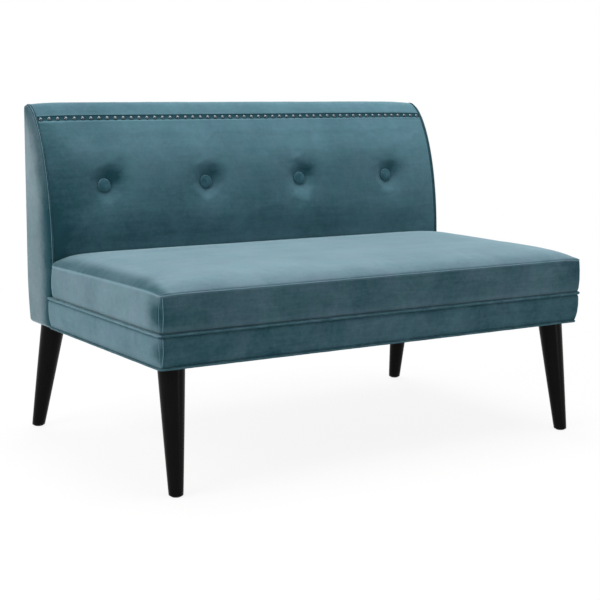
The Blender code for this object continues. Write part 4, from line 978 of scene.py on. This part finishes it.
def stitchMesh(ends, normals, radius, name):
    # One short round bar for each pair of ends, narrowed and sunk at both
    rows = ((0.0, 0.35, -0.0004), (0.18, 0.95, 0.0), (0.82, 0.95, 0.0), (1.0, 0.35, -0.0004))
    corners = 6
    bar = gridFaces(len(rows), corners)
    bar += [tuple(range(corners - 1, -1, -1)), tuple(range((len(rows) - 1) * corners, len(rows) * corners))]
    points, faces = [], []
    for (first, second), normal in zip(ends, normals):
        length = np.linalg.norm(second - first)
        axis = (second - first) / length
        across = np.cross(axis, normal)
        faces += [tuple(len(points) + corner for corner in face) for face in bar]
        for along, size, lift in rows:
            for angle in 2 * math.pi * np.arange(corners) / corners:
                out = normal * (lift + radius * size * math.sin(angle))
                points.append(first + axis * length * along + out + across * radius * size * math.cos(angle))
    piece = meshPiece(name, points, faces)
    faceOutwards(piece)
    smoothShaded(piece, 70)
    return piece


def makeBandStitches(sideName, sign):
    x = sign * (edgeInnerX + shell["edgeBandWidth"] * 0.5)
    level = edgeBand["valley"] + 0.0002
    starts = np.arange(0.004, arcEndLength - 0.002, edgeBand["stitchPitch"])
    runs = (0.0, edgeBand["stitchLength"])
    ends = [[offSection(x, start + run, level) for run in runs] for start in starts]
    normals = [np.array((0.0, *sectionNormal(start))) for start in starts]
    piece = stitchMesh(ends, normals, edgeBand["stitchRadius"], "band_stitches_" + sideName)
    dressed(piece, threadMaterial)


threadMaterial = speckMaterial("blueThread", (0.030, 0.070, 0.090), (0.09, 0.16, 0.19), 1800.0, 0.8,
                               (0.45, 0.75), {"Specular IOR Level": 0.35}, (0.5, 0.0002))
for sideName, sign in bothSides:
    makeEdgeBand(sideName, sign)
    makeBandStitches(sideName, sign)
print("edge bands ready")


# Rail band, piping cords and sewn corner seams

rail = {
    "step": 0.0070,
    "corner": 0.006,
    "thickness": 0.0077,
    "crown": 0.0050,
    "drawnIn": 0.0025,
    "innerCorner": 0.003,
    "swell": 0.0003,
    # Painted light and shade: the sides lighter than the front, painted shade near the front corners, under
    # the cord at the top edge and along the bottom
    "sideTones": (0.18, 0.9, 1.0),      # plain, then less at the corner and at the top edge
    "frontTones": (-0.64, 0.2, 0.25),
    "bottomTone": 0.3,
    "cloth": {"stiffness": 15, "bending": 1.5, "pressure": 2.0, "shrink": -0.003, "frames": 12,
              "cap": 0.0015, "keep": 0.35},
}
bandBottom, bandTop = bandBox[0][2], bandBox[1][2]
pathEndY = backFaceY - gap


def frontPath(inset, step):
    # Along the left side, round the front and back along the right side, with the outward direction
    wide, front, radius = half - inset, frontY + inset, rail["corner"]
    count = int((pathEndY - front - radius) / step)
    side = [(-wide, y, -1.0, 0.0) for y in np.linspace(pathEndY, front + radius, count + 1)[:-1]]
    for turn in np.linspace(math.pi, 1.5 * math.pi, 7):
        nx, ny = math.cos(turn), math.sin(turn)
        side.append((-wide + radius + radius * nx, front + radius + radius * ny, nx, ny))
    count = int(2 * (wide - radius) / step)
    straight = [(x, front, 0.0, -1.0) for x in np.linspace(-wide + radius, wide - radius, count + 1)[1:-1]]
    path = np.array(side + straight + [(-x, y, -nx, ny) for x, y, nx, ny in side[::-1]])
    return path, pathLengths(path[:, 0], path[:, 1])


def bandOut(share):
    crown, drawn = rail["crown"], rail["drawnIn"]
    return np.interp(share, (0.0, 0.04, 0.10, 0.30, 0.60, 0.88, 0.96, 1.0),
                     (-drawn, -0.72 * drawn, -0.2 * drawn, 0.6 * crown, crown, 0.9 * crown, 0.72 * crown,
                      0.45 * crown))


def makeRailBand():
    path, distance = frontPath(0.0, rail["step"])
    shares = np.linspace(0.0, 1.0, 13)
    bow = np.sin(math.pi * shares)
    still = np.zeros(2)
    inset, turnIn, reach = rail["thickness"], rail["innerCorner"], rail["corner"] + gap
    rings, free, paintedShading = [], [], []
    for (x, y, nx, ny), along in zip(path, distance):
        outs = bandOut(shares) + rail["swell"] * ripple(along, 0.145) * bow
        outer = np.column_stack([x + nx * outs, y + ny * outs, bandBottom + (bandTop - bandBottom) * shares])
        if half - abs(x) > reach or y - frontY > reach:
            inner = (x - nx * inset, y - ny * inset)
        else:
            middle = inset + turnIn
            inner = (math.copysign(half - middle, x) + nx * turnIn, frontY + middle + ny * turnIn)
        rings.append([*outer, np.array((*inner, bandTop)), np.array((*inner, bandBottom))])
        atCorner = hump(math.hypot(half - abs(x), y - frontY), 0.032)
        free.append(np.concatenate([bow * (1 - 0.9 * atCorner), still]))
        # Painted shade at the corners, at the top edge and along the bottom
        plain, corner, top = rail["sideTones"] if abs(nx) > 0.4 else rail["frontTones"]
        tone = plain - corner * atCorner * bow - top * hump(1 - shares, 0.05)
        paintedShading.append(np.concatenate([tone - rail["bottomTone"] * hump(shares, 0.07), still]))
    free[0] = free[-1] = np.zeros(len(shares) + 2)
    piece = loftPiece("rail_band_cover", rings)
    sewn(piece, np.concatenate(paintedShading), velvetBand, 60, np.concatenate(free), rail["cloth"])
    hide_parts("rail_band")


def tubeRings(centres, sideways, upwards, radii, sides):
    angles = 2 * math.pi * (np.arange(sides) + 0.5) / sides
    right = (np.cos(angles) * radii[:, None])[:, :, None] * sideways[:, None, :]
    up = (np.sin(angles) * radii[:, None])[:, :, None] * np.asarray(upwards)
    return centres[:, None, :] + right + up


cord = {
    "step": 0.005,
    "tape": 0.0050,
    "insets": {"mid_welt": -0.0033, "base_welt": 0.0025},
    "waves": {"mid_welt": 0.0003, "base_welt": 0.0002},
    # Painted light and shade: the cords darker on the front than on the sides, the base cord dark all round,
    # and round each cord a highlight on its outer face with shade over the top, on the tape and underneath
    "tones": {"mid_welt": (-0.12, -0.84), "base_welt": (-0.95, -0.95)},      # on the sides and on the front
    "sideLight": [0.60, 0.1, -0.2, -0.5, -0.8, -1.0, -1.0, -1.0, -1.0, -1.0, -1.2, -1.4, -1.0, 0.30],
    "frontLight": [0.60, 0.0, -0.3, -0.5, -0.8, -1.0, -1.0, -1.0, -1.0, -0.8, -0.6, -0.5, -0.2, 0.25],
}


def makePiping(name, node):
    low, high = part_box(node)[0][2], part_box(node)[1][2]
    radius = (high - low) / 2 * 1.05
    path, distance = frontPath(cord["insets"][node], cord["step"])
    wave = cord["waves"][node]
    outward = path[:, 2:]
    centres = np.column_stack([path[:, :2] + outward * (wave * ripple(distance, 0.13, 0.4))[:, None],
                               (low + high) / 2 + wave * ripple(distance, 0.10, 1.9)])
    sideways = np.column_stack([outward, np.zeros(len(path))])
    radii = radius * (1 + 0.03 * ripple(distance, 0.021, 0.2))
    rings = tubeRings(centres, sideways, (0.0, 0.0, 1.0), radii, len(cord["sideLight"]))
    # The cord's sewn-in tape runs inwards between the two panels
    tape = radius + np.where(np.abs(outward).max(axis=1) > 0.99, cord["tape"], 0.0)
    for k, lift in ((6, 0.0008), (7, -0.0008)):
        rings[:, k] = centres - sideways * tape[:, None] + (0.0, 0.0, 0.6 * radius + lift)
    # Painted light and shade round each cord, on the sides and on the front
    onSide, onFront = cord["tones"][node]
    paintedShading = np.where(np.abs(outward[:, :1]) > 0.4, onSide + 0.75 * np.array(cord["sideLight"]),
                   onFront + 0.75 * np.array(cord["frontLight"]))
    piece = loftPiece(name, rings)
    sewn(piece, paintedShading.ravel(), velvetSeam, 70, finer=False)
    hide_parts(node)


seam = {
    "topRadius": 0.0012,
    # topTone paints a highlight along the top seam; tones paint the two corner seam lines, the first lighter
    "topTone": 0.90,
    "radius": 0.0009,
    "halfGap": 0.0026,
    "tones": (0.30, 0.05),
    "wander": 0.0003,
}


def makeTopSeam(border, outward, distance, dips):
    # Folded seam edge along the crown's border, round the whole cushion
    centres = np.column_stack([border[:, :2] + outward * (seat["topInset"] - 0.0006),
                               seamZ + 0.0004 - dips + 0.0002 * ripple(distance, 0.08)])
    radii = seam["topRadius"] * (1 + 0.10 * ripple(distance, 0.013))
    rings = tubeRings(centres, np.column_stack([outward, 0 * dips]), (0.0, 0.0, 1.0), radii, 8)
    piece = loftPiece("seat_top_seam", rings, loop=True)
    # A painted highlight all along the seam's edge
    addPaintedShading(piece, np.full(len(piece.data.vertices), seam["topTone"]))
    faceOutwards(piece)
    smoothShaded(piece, 70)
    dressed(piece, velvetSeam)


def makeUprightSeams(sideName, sign):
    # Two close lines of raised seam down the boxing and the rail band at a front corner
    radius = rail["corner"]
    shares = np.linspace(0.0, 1.0, 16)
    radii = seam["radius"] * np.array([0.5] + [1.0] * 14 + [0.5])
    for tag, low, high, outs, proud, dip in (
            ("boxing", boxingBottom + 0.001, seamZ - 0.0035, boxingOut, seat["proud"], seat["cornerDip"]),
            ("band", bandBottom + 0.001, bandTop - 0.001, bandOut, 0.0, 0.0)):
        made = []
        for index, offset in enumerate((-1, 1)):
            turn = math.radians(-45 + 15 * sign) + offset * seam["halfGap"] / radius
            nx, ny = math.cos(turn), math.sin(turn)
            reach = radius + outs(shares) + proud + 0.0001
            wander = seam["wander"] * np.sin(shares * 9 + index)
            centres = np.column_stack([sign * (half - radius + reach * nx - wander * ny),
                                       frontY + radius + reach * ny + wander * nx,
                                       low + (high - low) * shares - dip * shares])
            rings = tubeRings(centres, np.array([(sign * -ny, nx, 0.0)]), (sign * nx, ny, 0.0), radii, 8)
            piece = loftPiece(f"corner_seam_{tag}_{sideName}_{index + 1}", rings)
            # Painted light: the first of the two seam lines lighter than the second
            addPaintedShading(piece, np.full(len(piece.data.vertices), seam["tones"][index]))
            closedOver(piece)
            smoothShaded(piece, 70)
            made.append(piece)
        only(*made)
        bpy.ops.object.join()
        made[0].name = "corner_seam_" + tag + "_" + sideName
        dressed(made[0], velvetSeam)


makeRailBand()
makePiping("mid_cord", "mid_welt")
makePiping("base_cord", "base_welt")
makeTopSeam(*seatEdge)
for sideName, sign in bothSides:
    makeUprightSeams(sideName, sign)
print("rail band and cords ready")


# Covered buttons

button = {
    "segments": 44,
    "rings": 22,
    "domeHeight": 0.0060,
    "skirt": 0.0026,
    "cutShare": 0.5,
    "pleats": 14,
    "pleatDepth": 0.00025,
    "rim": 0.0005,
}


def placeOnSection(piece, x, length, out):
    up = Vector((0.0, *map(float, sectionNormal(length))))
    across = Vector((1.0, 0.0, 0.0))
    turn = Matrix((across, up.cross(across), up)).transposed().to_4x4()
    piece.matrix_world = Matrix.Translation(Vector(offSection(x, length, out))) @ turn
    only(piece)
    bpy.ops.object.transform_apply(location=True, rotation=True, scale=True)


def squashed(piece, share, test):
    # Scales the height of the points that pass the test
    work = bmesh.from_edit_mesh(piece.data)
    for vertex in work.verts:
        vertex.select = test(vertex.co.z)
    work.select_flush(True)
    work.select_flush(False)
    bmesh.update_edit_mesh(piece.data)
    bpy.ops.transform.resize(value=(1, 1, share), center_override=(0, 0, 0))


def domePiece(name, radius, shape):
    cut = radius * shape["cutShare"]
    bpy.ops.mesh.primitive_uv_sphere_add(segments=shape["segments"], ring_count=shape["rings"], radius=radius)
    piece = bpy.context.object
    piece.name = name
    bpy.ops.object.mode_set(mode="EDIT")
    bpy.ops.mesh.select_all(action="SELECT")
    bpy.ops.mesh.bisect(plane_co=(0, 0, -cut), plane_no=(0, 0, 1), use_fill=True, clear_inner=True)
    squashed(piece, shape["domeHeight"] / radius, lambda z: z > -0.00001)
    squashed(piece, shape["skirt"] / cut, lambda z: z < -0.00001)
    bpy.ops.object.mode_set(mode="OBJECT")
    return piece


def makeButton(number, x):
    radius = back["buttonRadius"]
    piece = domePiece(f"covered_button_{number + 1}", radius, button)
    points = meshPoints(piece)
    turn = np.arctan2(points[:, 1], points[:, 0])
    reach = np.hypot(points[:, 0], points[:, 1]) / radius
    pleat = np.cos(turn * button["pleats"] + number) * smoothStep((reach - 0.75) / 0.25)
    rim = button["rim"] * hump(reach - 0.90, 0.06) * (points[:, 2] > 0)
    points[:, :2] *= (1 + button["pleatDepth"] * pleat / radius)[:, None]
    points[:, 2] += rim + 0.0003 * ripple(points[:, 0] + number * 0.01, 0.02) * (1 - reach)
    setMeshPoints(piece, points)
    # Painted shade on the button's left side, lighter on its right, and a painted highlight round the rim,
    # brightest up and to the left
    rimLight = (0.50 + 0.45 * np.cos(turn - 2.2)) * hump(reach - 0.94, 0.045)
    addPaintedShading(piece, 0.16 * np.cos(turn) + rimLight)
    placeOnSection(piece, x, lengthAt(buttonZ), gap - back["tuftDepth"] + button["skirt"])
    smoothShaded(piece, 60)
    dressed(piece, velvetButton)
    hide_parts(f"tuft_button_{number + 1}")


for number, x in enumerate(buttonXs):
    makeButton(number, x)


# Nail heads: one dome, copied along the channel

nails = {
    "count": 53,
    "endMargin": 0.0084,
    "radius": 0.0056,
    "domeHeight": 0.0033,
    "skirt": 0.0004,
    "cutShare": 0.1,
    "segments": 22,
    "rings": 14,
    "strayed": (0.0002, 0.0001),    # up or down the channel, and in or out
}
# The base colour is much darker than bare nickel: it paints a dark reflection on the heads, so that only the
# lamps' glints come out bright
nickel = speckMaterial("nickelHead", (0.080, 0.104, 0.120), (0.036, 0.046, 0.053), 900.0, 0.35,
                       (0.04, 0.12), {"Metallic": 1.0}, (0.25, 0.0001))


def makeNailHeads():
    first = domePiece("nail_heads", nails["radius"], nails)
    heads = [first]
    for _ in range(1, nails["count"]):
        heads.append(first.copy())
        heads[-1].data = first.data.copy()
        bpy.context.collection.objects.link(heads[-1])
    upDown, inOut = nails["strayed"]
    reach = coverHalf - nails["endMargin"]
    for index, piece in enumerate(heads):
        x = reach * (2 * index / (nails["count"] - 1) - 1)
        placeOnSection(piece, x, nailLength + upDown * math.sin(index * 2.7),
                       gap - back["channelDepth"] + nails["skirt"] + inOut * math.sin(index * 1.9))
    only(*heads)
    bpy.ops.object.join()
    smoothShaded(first, 40)
    dressed(first, nickel)
    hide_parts("nail_strip")


makeNailHeads()
print("buttons and nails ready")


# Legs: turned, tapered and splayed, in satin black

leg = {
    "sides": 60,
    "footRadius": 0.0172,
    "footChamfer": 0.0020,
    "topRadius": 0.0325,
    "topChamfer": 0.0012,
    "shares": (0.05, 0.2, 0.35, 0.5, 0.65, 0.8, 0.95, 0.993),
    "swell": 0.0003,
    "places": {"front": ((0.582, -0.335), (0.595, -0.3813)),      # head and foot of the right leg
               "rear": ((0.581, 0.3195), (0.605, 0.3813))},
}
blackLacquer = speckMaterial("blackLacquer", (0.0022, 0.0020, 0.0020), (0.006, 0.0055, 0.005), 150.0, 0.40,
                             (0.22, 0.34), {"Specular IOR Level": 0.06}, (0.10, 0.0004), (1.0, 1.0, 0.12))


def makeLeg(legName, sign, head, foot):
    low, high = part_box("leg_" + legName)[0][2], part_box("leg_" + legName)[1][2]
    height, chamfer, footRadius = high - low, leg["footChamfer"], leg["footRadius"]
    head, foot = Vector((sign * head[0], head[1], high)), Vector((sign * foot[0], foot[1], low))
    stations = [(chamfer * 0.35, footRadius - chamfer * 0.35), (chamfer, footRadius)]
    for share in leg["shares"]:
        radius = footRadius + (leg["topRadius"] - footRadius) * share
        stations.append((height * share, radius + leg["swell"] * math.sin(math.pi * share)))
    stations.append((height, leg["topRadius"] - leg["topChamfer"]))
    place, radius = foot, footRadius - chamfer
    bpy.ops.mesh.primitive_circle_add(vertices=leg["sides"], radius=radius, fill_type="NGON", location=foot)
    piece = bpy.context.object
    piece.name = "turned_leg_" + legName
    bpy.ops.object.transform_apply(location=True, rotation=False, scale=False)
    bpy.ops.object.mode_set(mode="EDIT")
    bpy.ops.mesh.select_all(action="SELECT")
    for rise, nextRadius in stations:
        nextPlace = foot.lerp(head, rise / height)
        bpy.ops.mesh.extrude_region_move(TRANSFORM_OT_translate={"value": nextPlace - place})
        grow = nextRadius / radius
        bpy.ops.transform.resize(value=(grow, grow, 1), center_override=nextPlace)
        place, radius = nextPlace, nextRadius
    bpy.ops.mesh.select_all(action="SELECT")
    bpy.ops.mesh.normals_make_consistent(inside=False)
    bpy.ops.object.mode_set(mode="OBJECT")
    smoothShaded(piece, 35)
    dressed(piece, blackLacquer)
    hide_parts("leg_" + legName)


for end, places in leg["places"].items():
    for sideName, sign in bothSides:
        makeLeg(end + "_" + sideName, sign, *places)
print("legs ready")


# Dust cover: a thin black cloth stapled under the frame

dust = {
    "cell": 0.018,
    "below": 0.0006,
    "sag": 0.0018,
    "crease": 0.0004,
    "thickness": 0.0004,
    "staplePitch": 0.048,
    "stapleInset": 0.005,
    "stapleWidth": 0.010,
    "stapleRadius": 0.0005,
}
dustCloth = newMaterial("blackDustCloth", weaveGroup, {
    "Thread": (0.020, 0.020, 0.022), "Hollow": (0.004, 0.004, 0.005), "Threads": 900.0,
}, {"Specular IOR Level": 0.25}, (0.5, 0.0002))
stapleSteel = speckMaterial("stapleSteel", (0.55, 0.55, 0.56), (0.30, 0.29, 0.28), 700.0, 0.4,
                            (0.25, 0.45), {"Metallic": 1.0}, (0.2, 0.0001))


def dustMarks(values):
    # Even steps of about one cell between the given places
    places = []
    for first, second in zip(values, values[1:]):
        count = max(1, round((second - first) / dust["cell"]))
        places += list(np.linspace(first, second, count + 1)[:-1])
    return places + [values[-1]]


def makeDustCover():
    low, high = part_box("dust_cover")
    level = low[2] + dust["below"]
    corners = {(round(v.co.x, 4), round(v.co.y, 4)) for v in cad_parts["dust_cover"].data.vertices}
    atSides = [y for x, y in corners if abs(abs(x) - high[0]) < 0.001]
    notchFront, notchRear = min(atSides), max(atSides)
    frontX, rearX = (max(abs(x) for x, y in corners if abs(y - end) < 0.001) for end in (low[1], high[1]))
    inner = sorted({round(frontX, 4), round(rearX, 4)})
    xs = dustMarks([low[0]] + [-value for value in inner[::-1]] + inner + [high[0]])
    ys = dustMarks([low[1], notchFront, notchRear, high[1]])
    points, faces, index = [], [], {}

    def point(i, j):
        if (i, j) not in index:
            x, y = xs[i], ys[j]
            edge = min(x - low[0], high[0] - x, y - low[1], high[1] - y)
            sag = dust["sag"] * smoothStep(edge / 0.16) * (1 - (x / high[0]) ** 2 * 0.5)
            crease = dust["crease"] * ripple(x + y * 0.4, 0.16) * hump(edge, 0.07) * smoothStep(edge / 0.01)
            index[(i, j)] = len(points)
            points.append((x, y, level - sag - abs(crease)))
        return index[(i, j)]

    for i in range(len(xs) - 1):
        for j in range(len(ys) - 1):
            x, y = (xs[i] + xs[i + 1]) / 2, (ys[j] + ys[j + 1]) / 2
            if (y < notchFront and abs(x) > frontX) or (y > notchRear and abs(x) > rearX):
                continue
            faces.append((point(i, j), point(i + 1, j), point(i + 1, j + 1), point(i, j + 1)))
    piece = meshPiece("dust_cloth", points, faces)
    only(piece)
    solid = piece.modifiers.new("solid", "SOLIDIFY")
    solid.thickness = dust["thickness"]
    solid.offset = 0.0
    bpy.ops.object.modifier_apply(modifier=solid.name)
    smoothShaded(piece, 40)
    dressed(piece, dustCloth)
    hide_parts("dust_cover")
    return low, high, level, frontX, rearX, notchFront, notchRear


def makeStaples(low, high, level, frontX, rearX, notchFront, notchRear):
    inset, pitch = dust["stapleInset"], dust["staplePitch"]
    places = []
    for wide, y in ((frontX, low[1] + inset), (rearX, high[1] - inset)):
        places += [(x, y, 1.0, 0.0) for x in np.arange(-wide + 0.03, wide - 0.02, pitch)]
    for y in np.arange(notchFront + 0.03, notchRear - 0.02, pitch):
        places += [(low[0] + inset, y, 0.0, 1.0), (high[0] - inset, y, 0.0, 1.0)]
    ends = []
    for x, y, dx, dy in places:
        centre = np.array((x, y, level - 0.0007))
        reach = np.array((dx, dy, 0.0)) * dust["stapleWidth"] / 2
        ends.append((centre - reach, centre + reach))
    normals = [np.array((0.0, 0.0, -1.0))] * len(ends)
    dressed(stitchMesh(ends, normals, dust["stapleRadius"], "dust_staples"), stapleSteel)


makeStaples(*makeDustCover())
print("dust cover ready")


# Finishes for the nodes that stay as the frame has them


def woodMaterial(name, stretch):
    values = {"Light Wood": (0.50, 0.34, 0.19), "Dark Wood": (0.36, 0.22, 0.11), "Ring Scale": 26.0}
    return newMaterial(name, grainGroup, values, {"Specular IOR Level": 0.3}, (0.3, 0.0004), stretch)


frameWood = woodMaterial("frameWood", (0.08, 1.0, 1.0))
uprightWood = woodMaterial("uprightWood", (1.0, 1.0, 0.08))
springSteel = speckMaterial("springSteel", (0.32, 0.32, 0.34), (0.16, 0.14, 0.12), 400.0, 0.5,
                            (0.3, 0.5), {"Metallic": 1.0}, (0.2, 0.0002))
zincBolt = speckMaterial("zincBolt", (0.60, 0.61, 0.62), (0.42, 0.42, 0.40), 500.0, 0.4,
                         (0.22, 0.42), {"Metallic": 1.0}, (0.2, 0.0001))
greyFelt = speckMaterial("greyFelt", (0.16, 0.16, 0.165), (0.32, 0.31, 0.30), 700.0, 0.9,
                         (0.85, 0.98), {"Specular IOR Level": 0.1}, (0.7, 0.0008))
blackGlide = speckMaterial("blackGlide", (0.012, 0.012, 0.013), (0.045, 0.044, 0.042), 300.0, 0.6,
                           (0.35, 0.6), {"Specular IOR Level": 0.4}, (0.2, 0.0002))
juteWeb = newMaterial("juteWeb", weaveGroup, {
    "Thread": (0.42, 0.31, 0.18), "Hollow": (0.14, 0.09, 0.05), "Threads": 320.0,
}, {"Specular IOR Level": 0.15}, (0.8, 0.0005), (1.0, 0.0, 1.0))
finishes = {
    uprightWood: ("back_end_panel",),
    frameWood: ("back_bottom_rail", "back_top_rail", "back_tufting_rail", "corner_block", "seat_rail",
                "seat_stretcher"),
    juteWeb: ("back_webbing",),
    springSteel: ("seat_spring",),
    greyFelt: ("seat_insulator",),
    zincBolt: ("leg_bolt", "unit_bolt"),
    blackGlide: ("glide",),
}
for material, starts in finishes.items():
    for nodeName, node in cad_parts.items():
        if nodeName.startswith(starts):
            for materialSlot in node.material_slots:
                materialSlot.material = material
print("frame finishes ready")


# Camera, lights and floor

view = {
    "place": (-2.0685, -3.1079, 0.961),
    "turn": -0.585,
    "tilt": 0.1755,
    "roll": 0.0123,
    "lens": 84.525,
    "shift": 0.03157,
}
lamps = {
    "key": {"place": (-3.5, -0.6, 2.5), "size": (2.2, 2.2), "power": 108.0, "colour": (1.0, 0.925, 0.875)},
    "top": {"place": (0.4, 0.2, 3.6), "size": (3.4, 2.4), "power": 122.0, "colour": (1.0, 1.0, 1.0)},
    "front": {"place": (1.8, -3.9, 0.9), "size": (0.45, 2.0), "power": 24.0, "colour": (1.0, 1.0, 1.0)},
    "rear": {"place": (0.8, 3.4, 2.2), "size": (3.0, 1.8), "power": 35.0, "colour": (1.0, 1.0, 1.0)},
}
studio = {
    "aim": (0.0, 0.0, 0.45),        # what every lamp points at
    "white": (1.0, 1.0, 1.0),
    "worldLight": 0.25,
    "floorSize": 60.0,
    "floorColour": (0.86, 0.86, 0.86),
    "fade": (0.9, 2.6, 0.89, 1.0),  # from and to these distances, the glow rises between these shares
}


def makeCamera():
    data = bpy.data.cameras.new("studioCamera")
    data.sensor_width = 36.0
    data.lens = view["lens"]
    data.shift_y = view["shift"]
    camera = bpy.data.objects.new("studioCamera", data)
    scene.collection.objects.link(camera)
    camera.matrix_world = (Matrix.Translation(view["place"]) @ Matrix.Rotation(view["turn"], 4, "Z")
                           @ Matrix.Rotation(math.pi / 2 - view["tilt"], 4, "X")
                           @ Matrix.Rotation(view["roll"], 4, "Z"))
    return camera


def makeLamp(name, lamp):
    data = bpy.data.lights.new(name, "AREA")
    data.shape = "RECTANGLE"
    data.size, data.size_y = lamp["size"]
    data.energy = lamp["power"]
    data.color = lamp["colour"]
    piece = bpy.data.objects.new(name, data)
    scene.collection.objects.link(piece)
    piece.location = lamp["place"]
    piece.rotation_mode = "QUATERNION"
    piece.rotation_quaternion = (Vector(studio["aim"]) - Vector(lamp["place"])).to_track_quat("-Z", "Y")


def seenDirectly(tree):
    path = tree.nodes.new("ShaderNodeLightPath").outputs
    first = addMath(tree, "MAXIMUM", path["Is Camera Ray"], path["Is Glossy Ray"])
    return addMath(tree, "MAXIMUM", first, path["Is Transmission Ray"])


def makeWorld():
    world = bpy.data.worlds.new("studioWorld")
    world.use_nodes = True
    scene.world = world
    tree = world.node_tree
    plain = fill(tree, tree.nodes["Background"], {"Color": studio["white"], "Strength": studio["worldLight"]})
    bright = addNode(tree, "Background", {"Color": studio["white"], "Strength": 1.0})
    fill(tree, tree.nodes["World Output"], {"Surface": mixShaders(tree, seenDirectly(tree), plain, bright)})


def makeFloor():
    bpy.ops.mesh.primitive_plane_add(size=studio["floorSize"], location=(0.0, 0.0, -0.0002))
    floor = bpy.context.object
    floor.name = "studio_floor"
    material = bpy.data.materials.new("studioFloor")
    material.use_nodes = True
    tree = material.node_tree
    shader = tree.nodes["Principled BSDF"]
    fill(tree, shader, {"Base Color": studio["floorColour"], "Roughness": 0.9})
    glow = addNode(tree, "Emission", {"Strength": 1.0})
    coordinates = tree.nodes.new("ShaderNodeTexCoord")
    distance = addNode(tree, "VectorMath", {0: coordinates.outputs["Object"]})
    distance.operation = "LENGTH"
    fade = addRange(tree, distance.outputs["Value"], *studio["fade"])
    fade.node.interpolation_type = "SMOOTHSTEP"
    weight = addProduct(tree, seenDirectly(tree), fade)
    fill(tree, tree.nodes["Material Output"], {"Surface": mixShaders(tree, weight, shader, glow)})
    floor.data.materials.append(material)


scene.camera = makeCamera()
for lampName, lamp in lamps.items():
    makeLamp(lampName, lamp)
makeWorld()
makeFloor()
scene.view_settings.view_transform = "Standard"
print("camera and light ready")
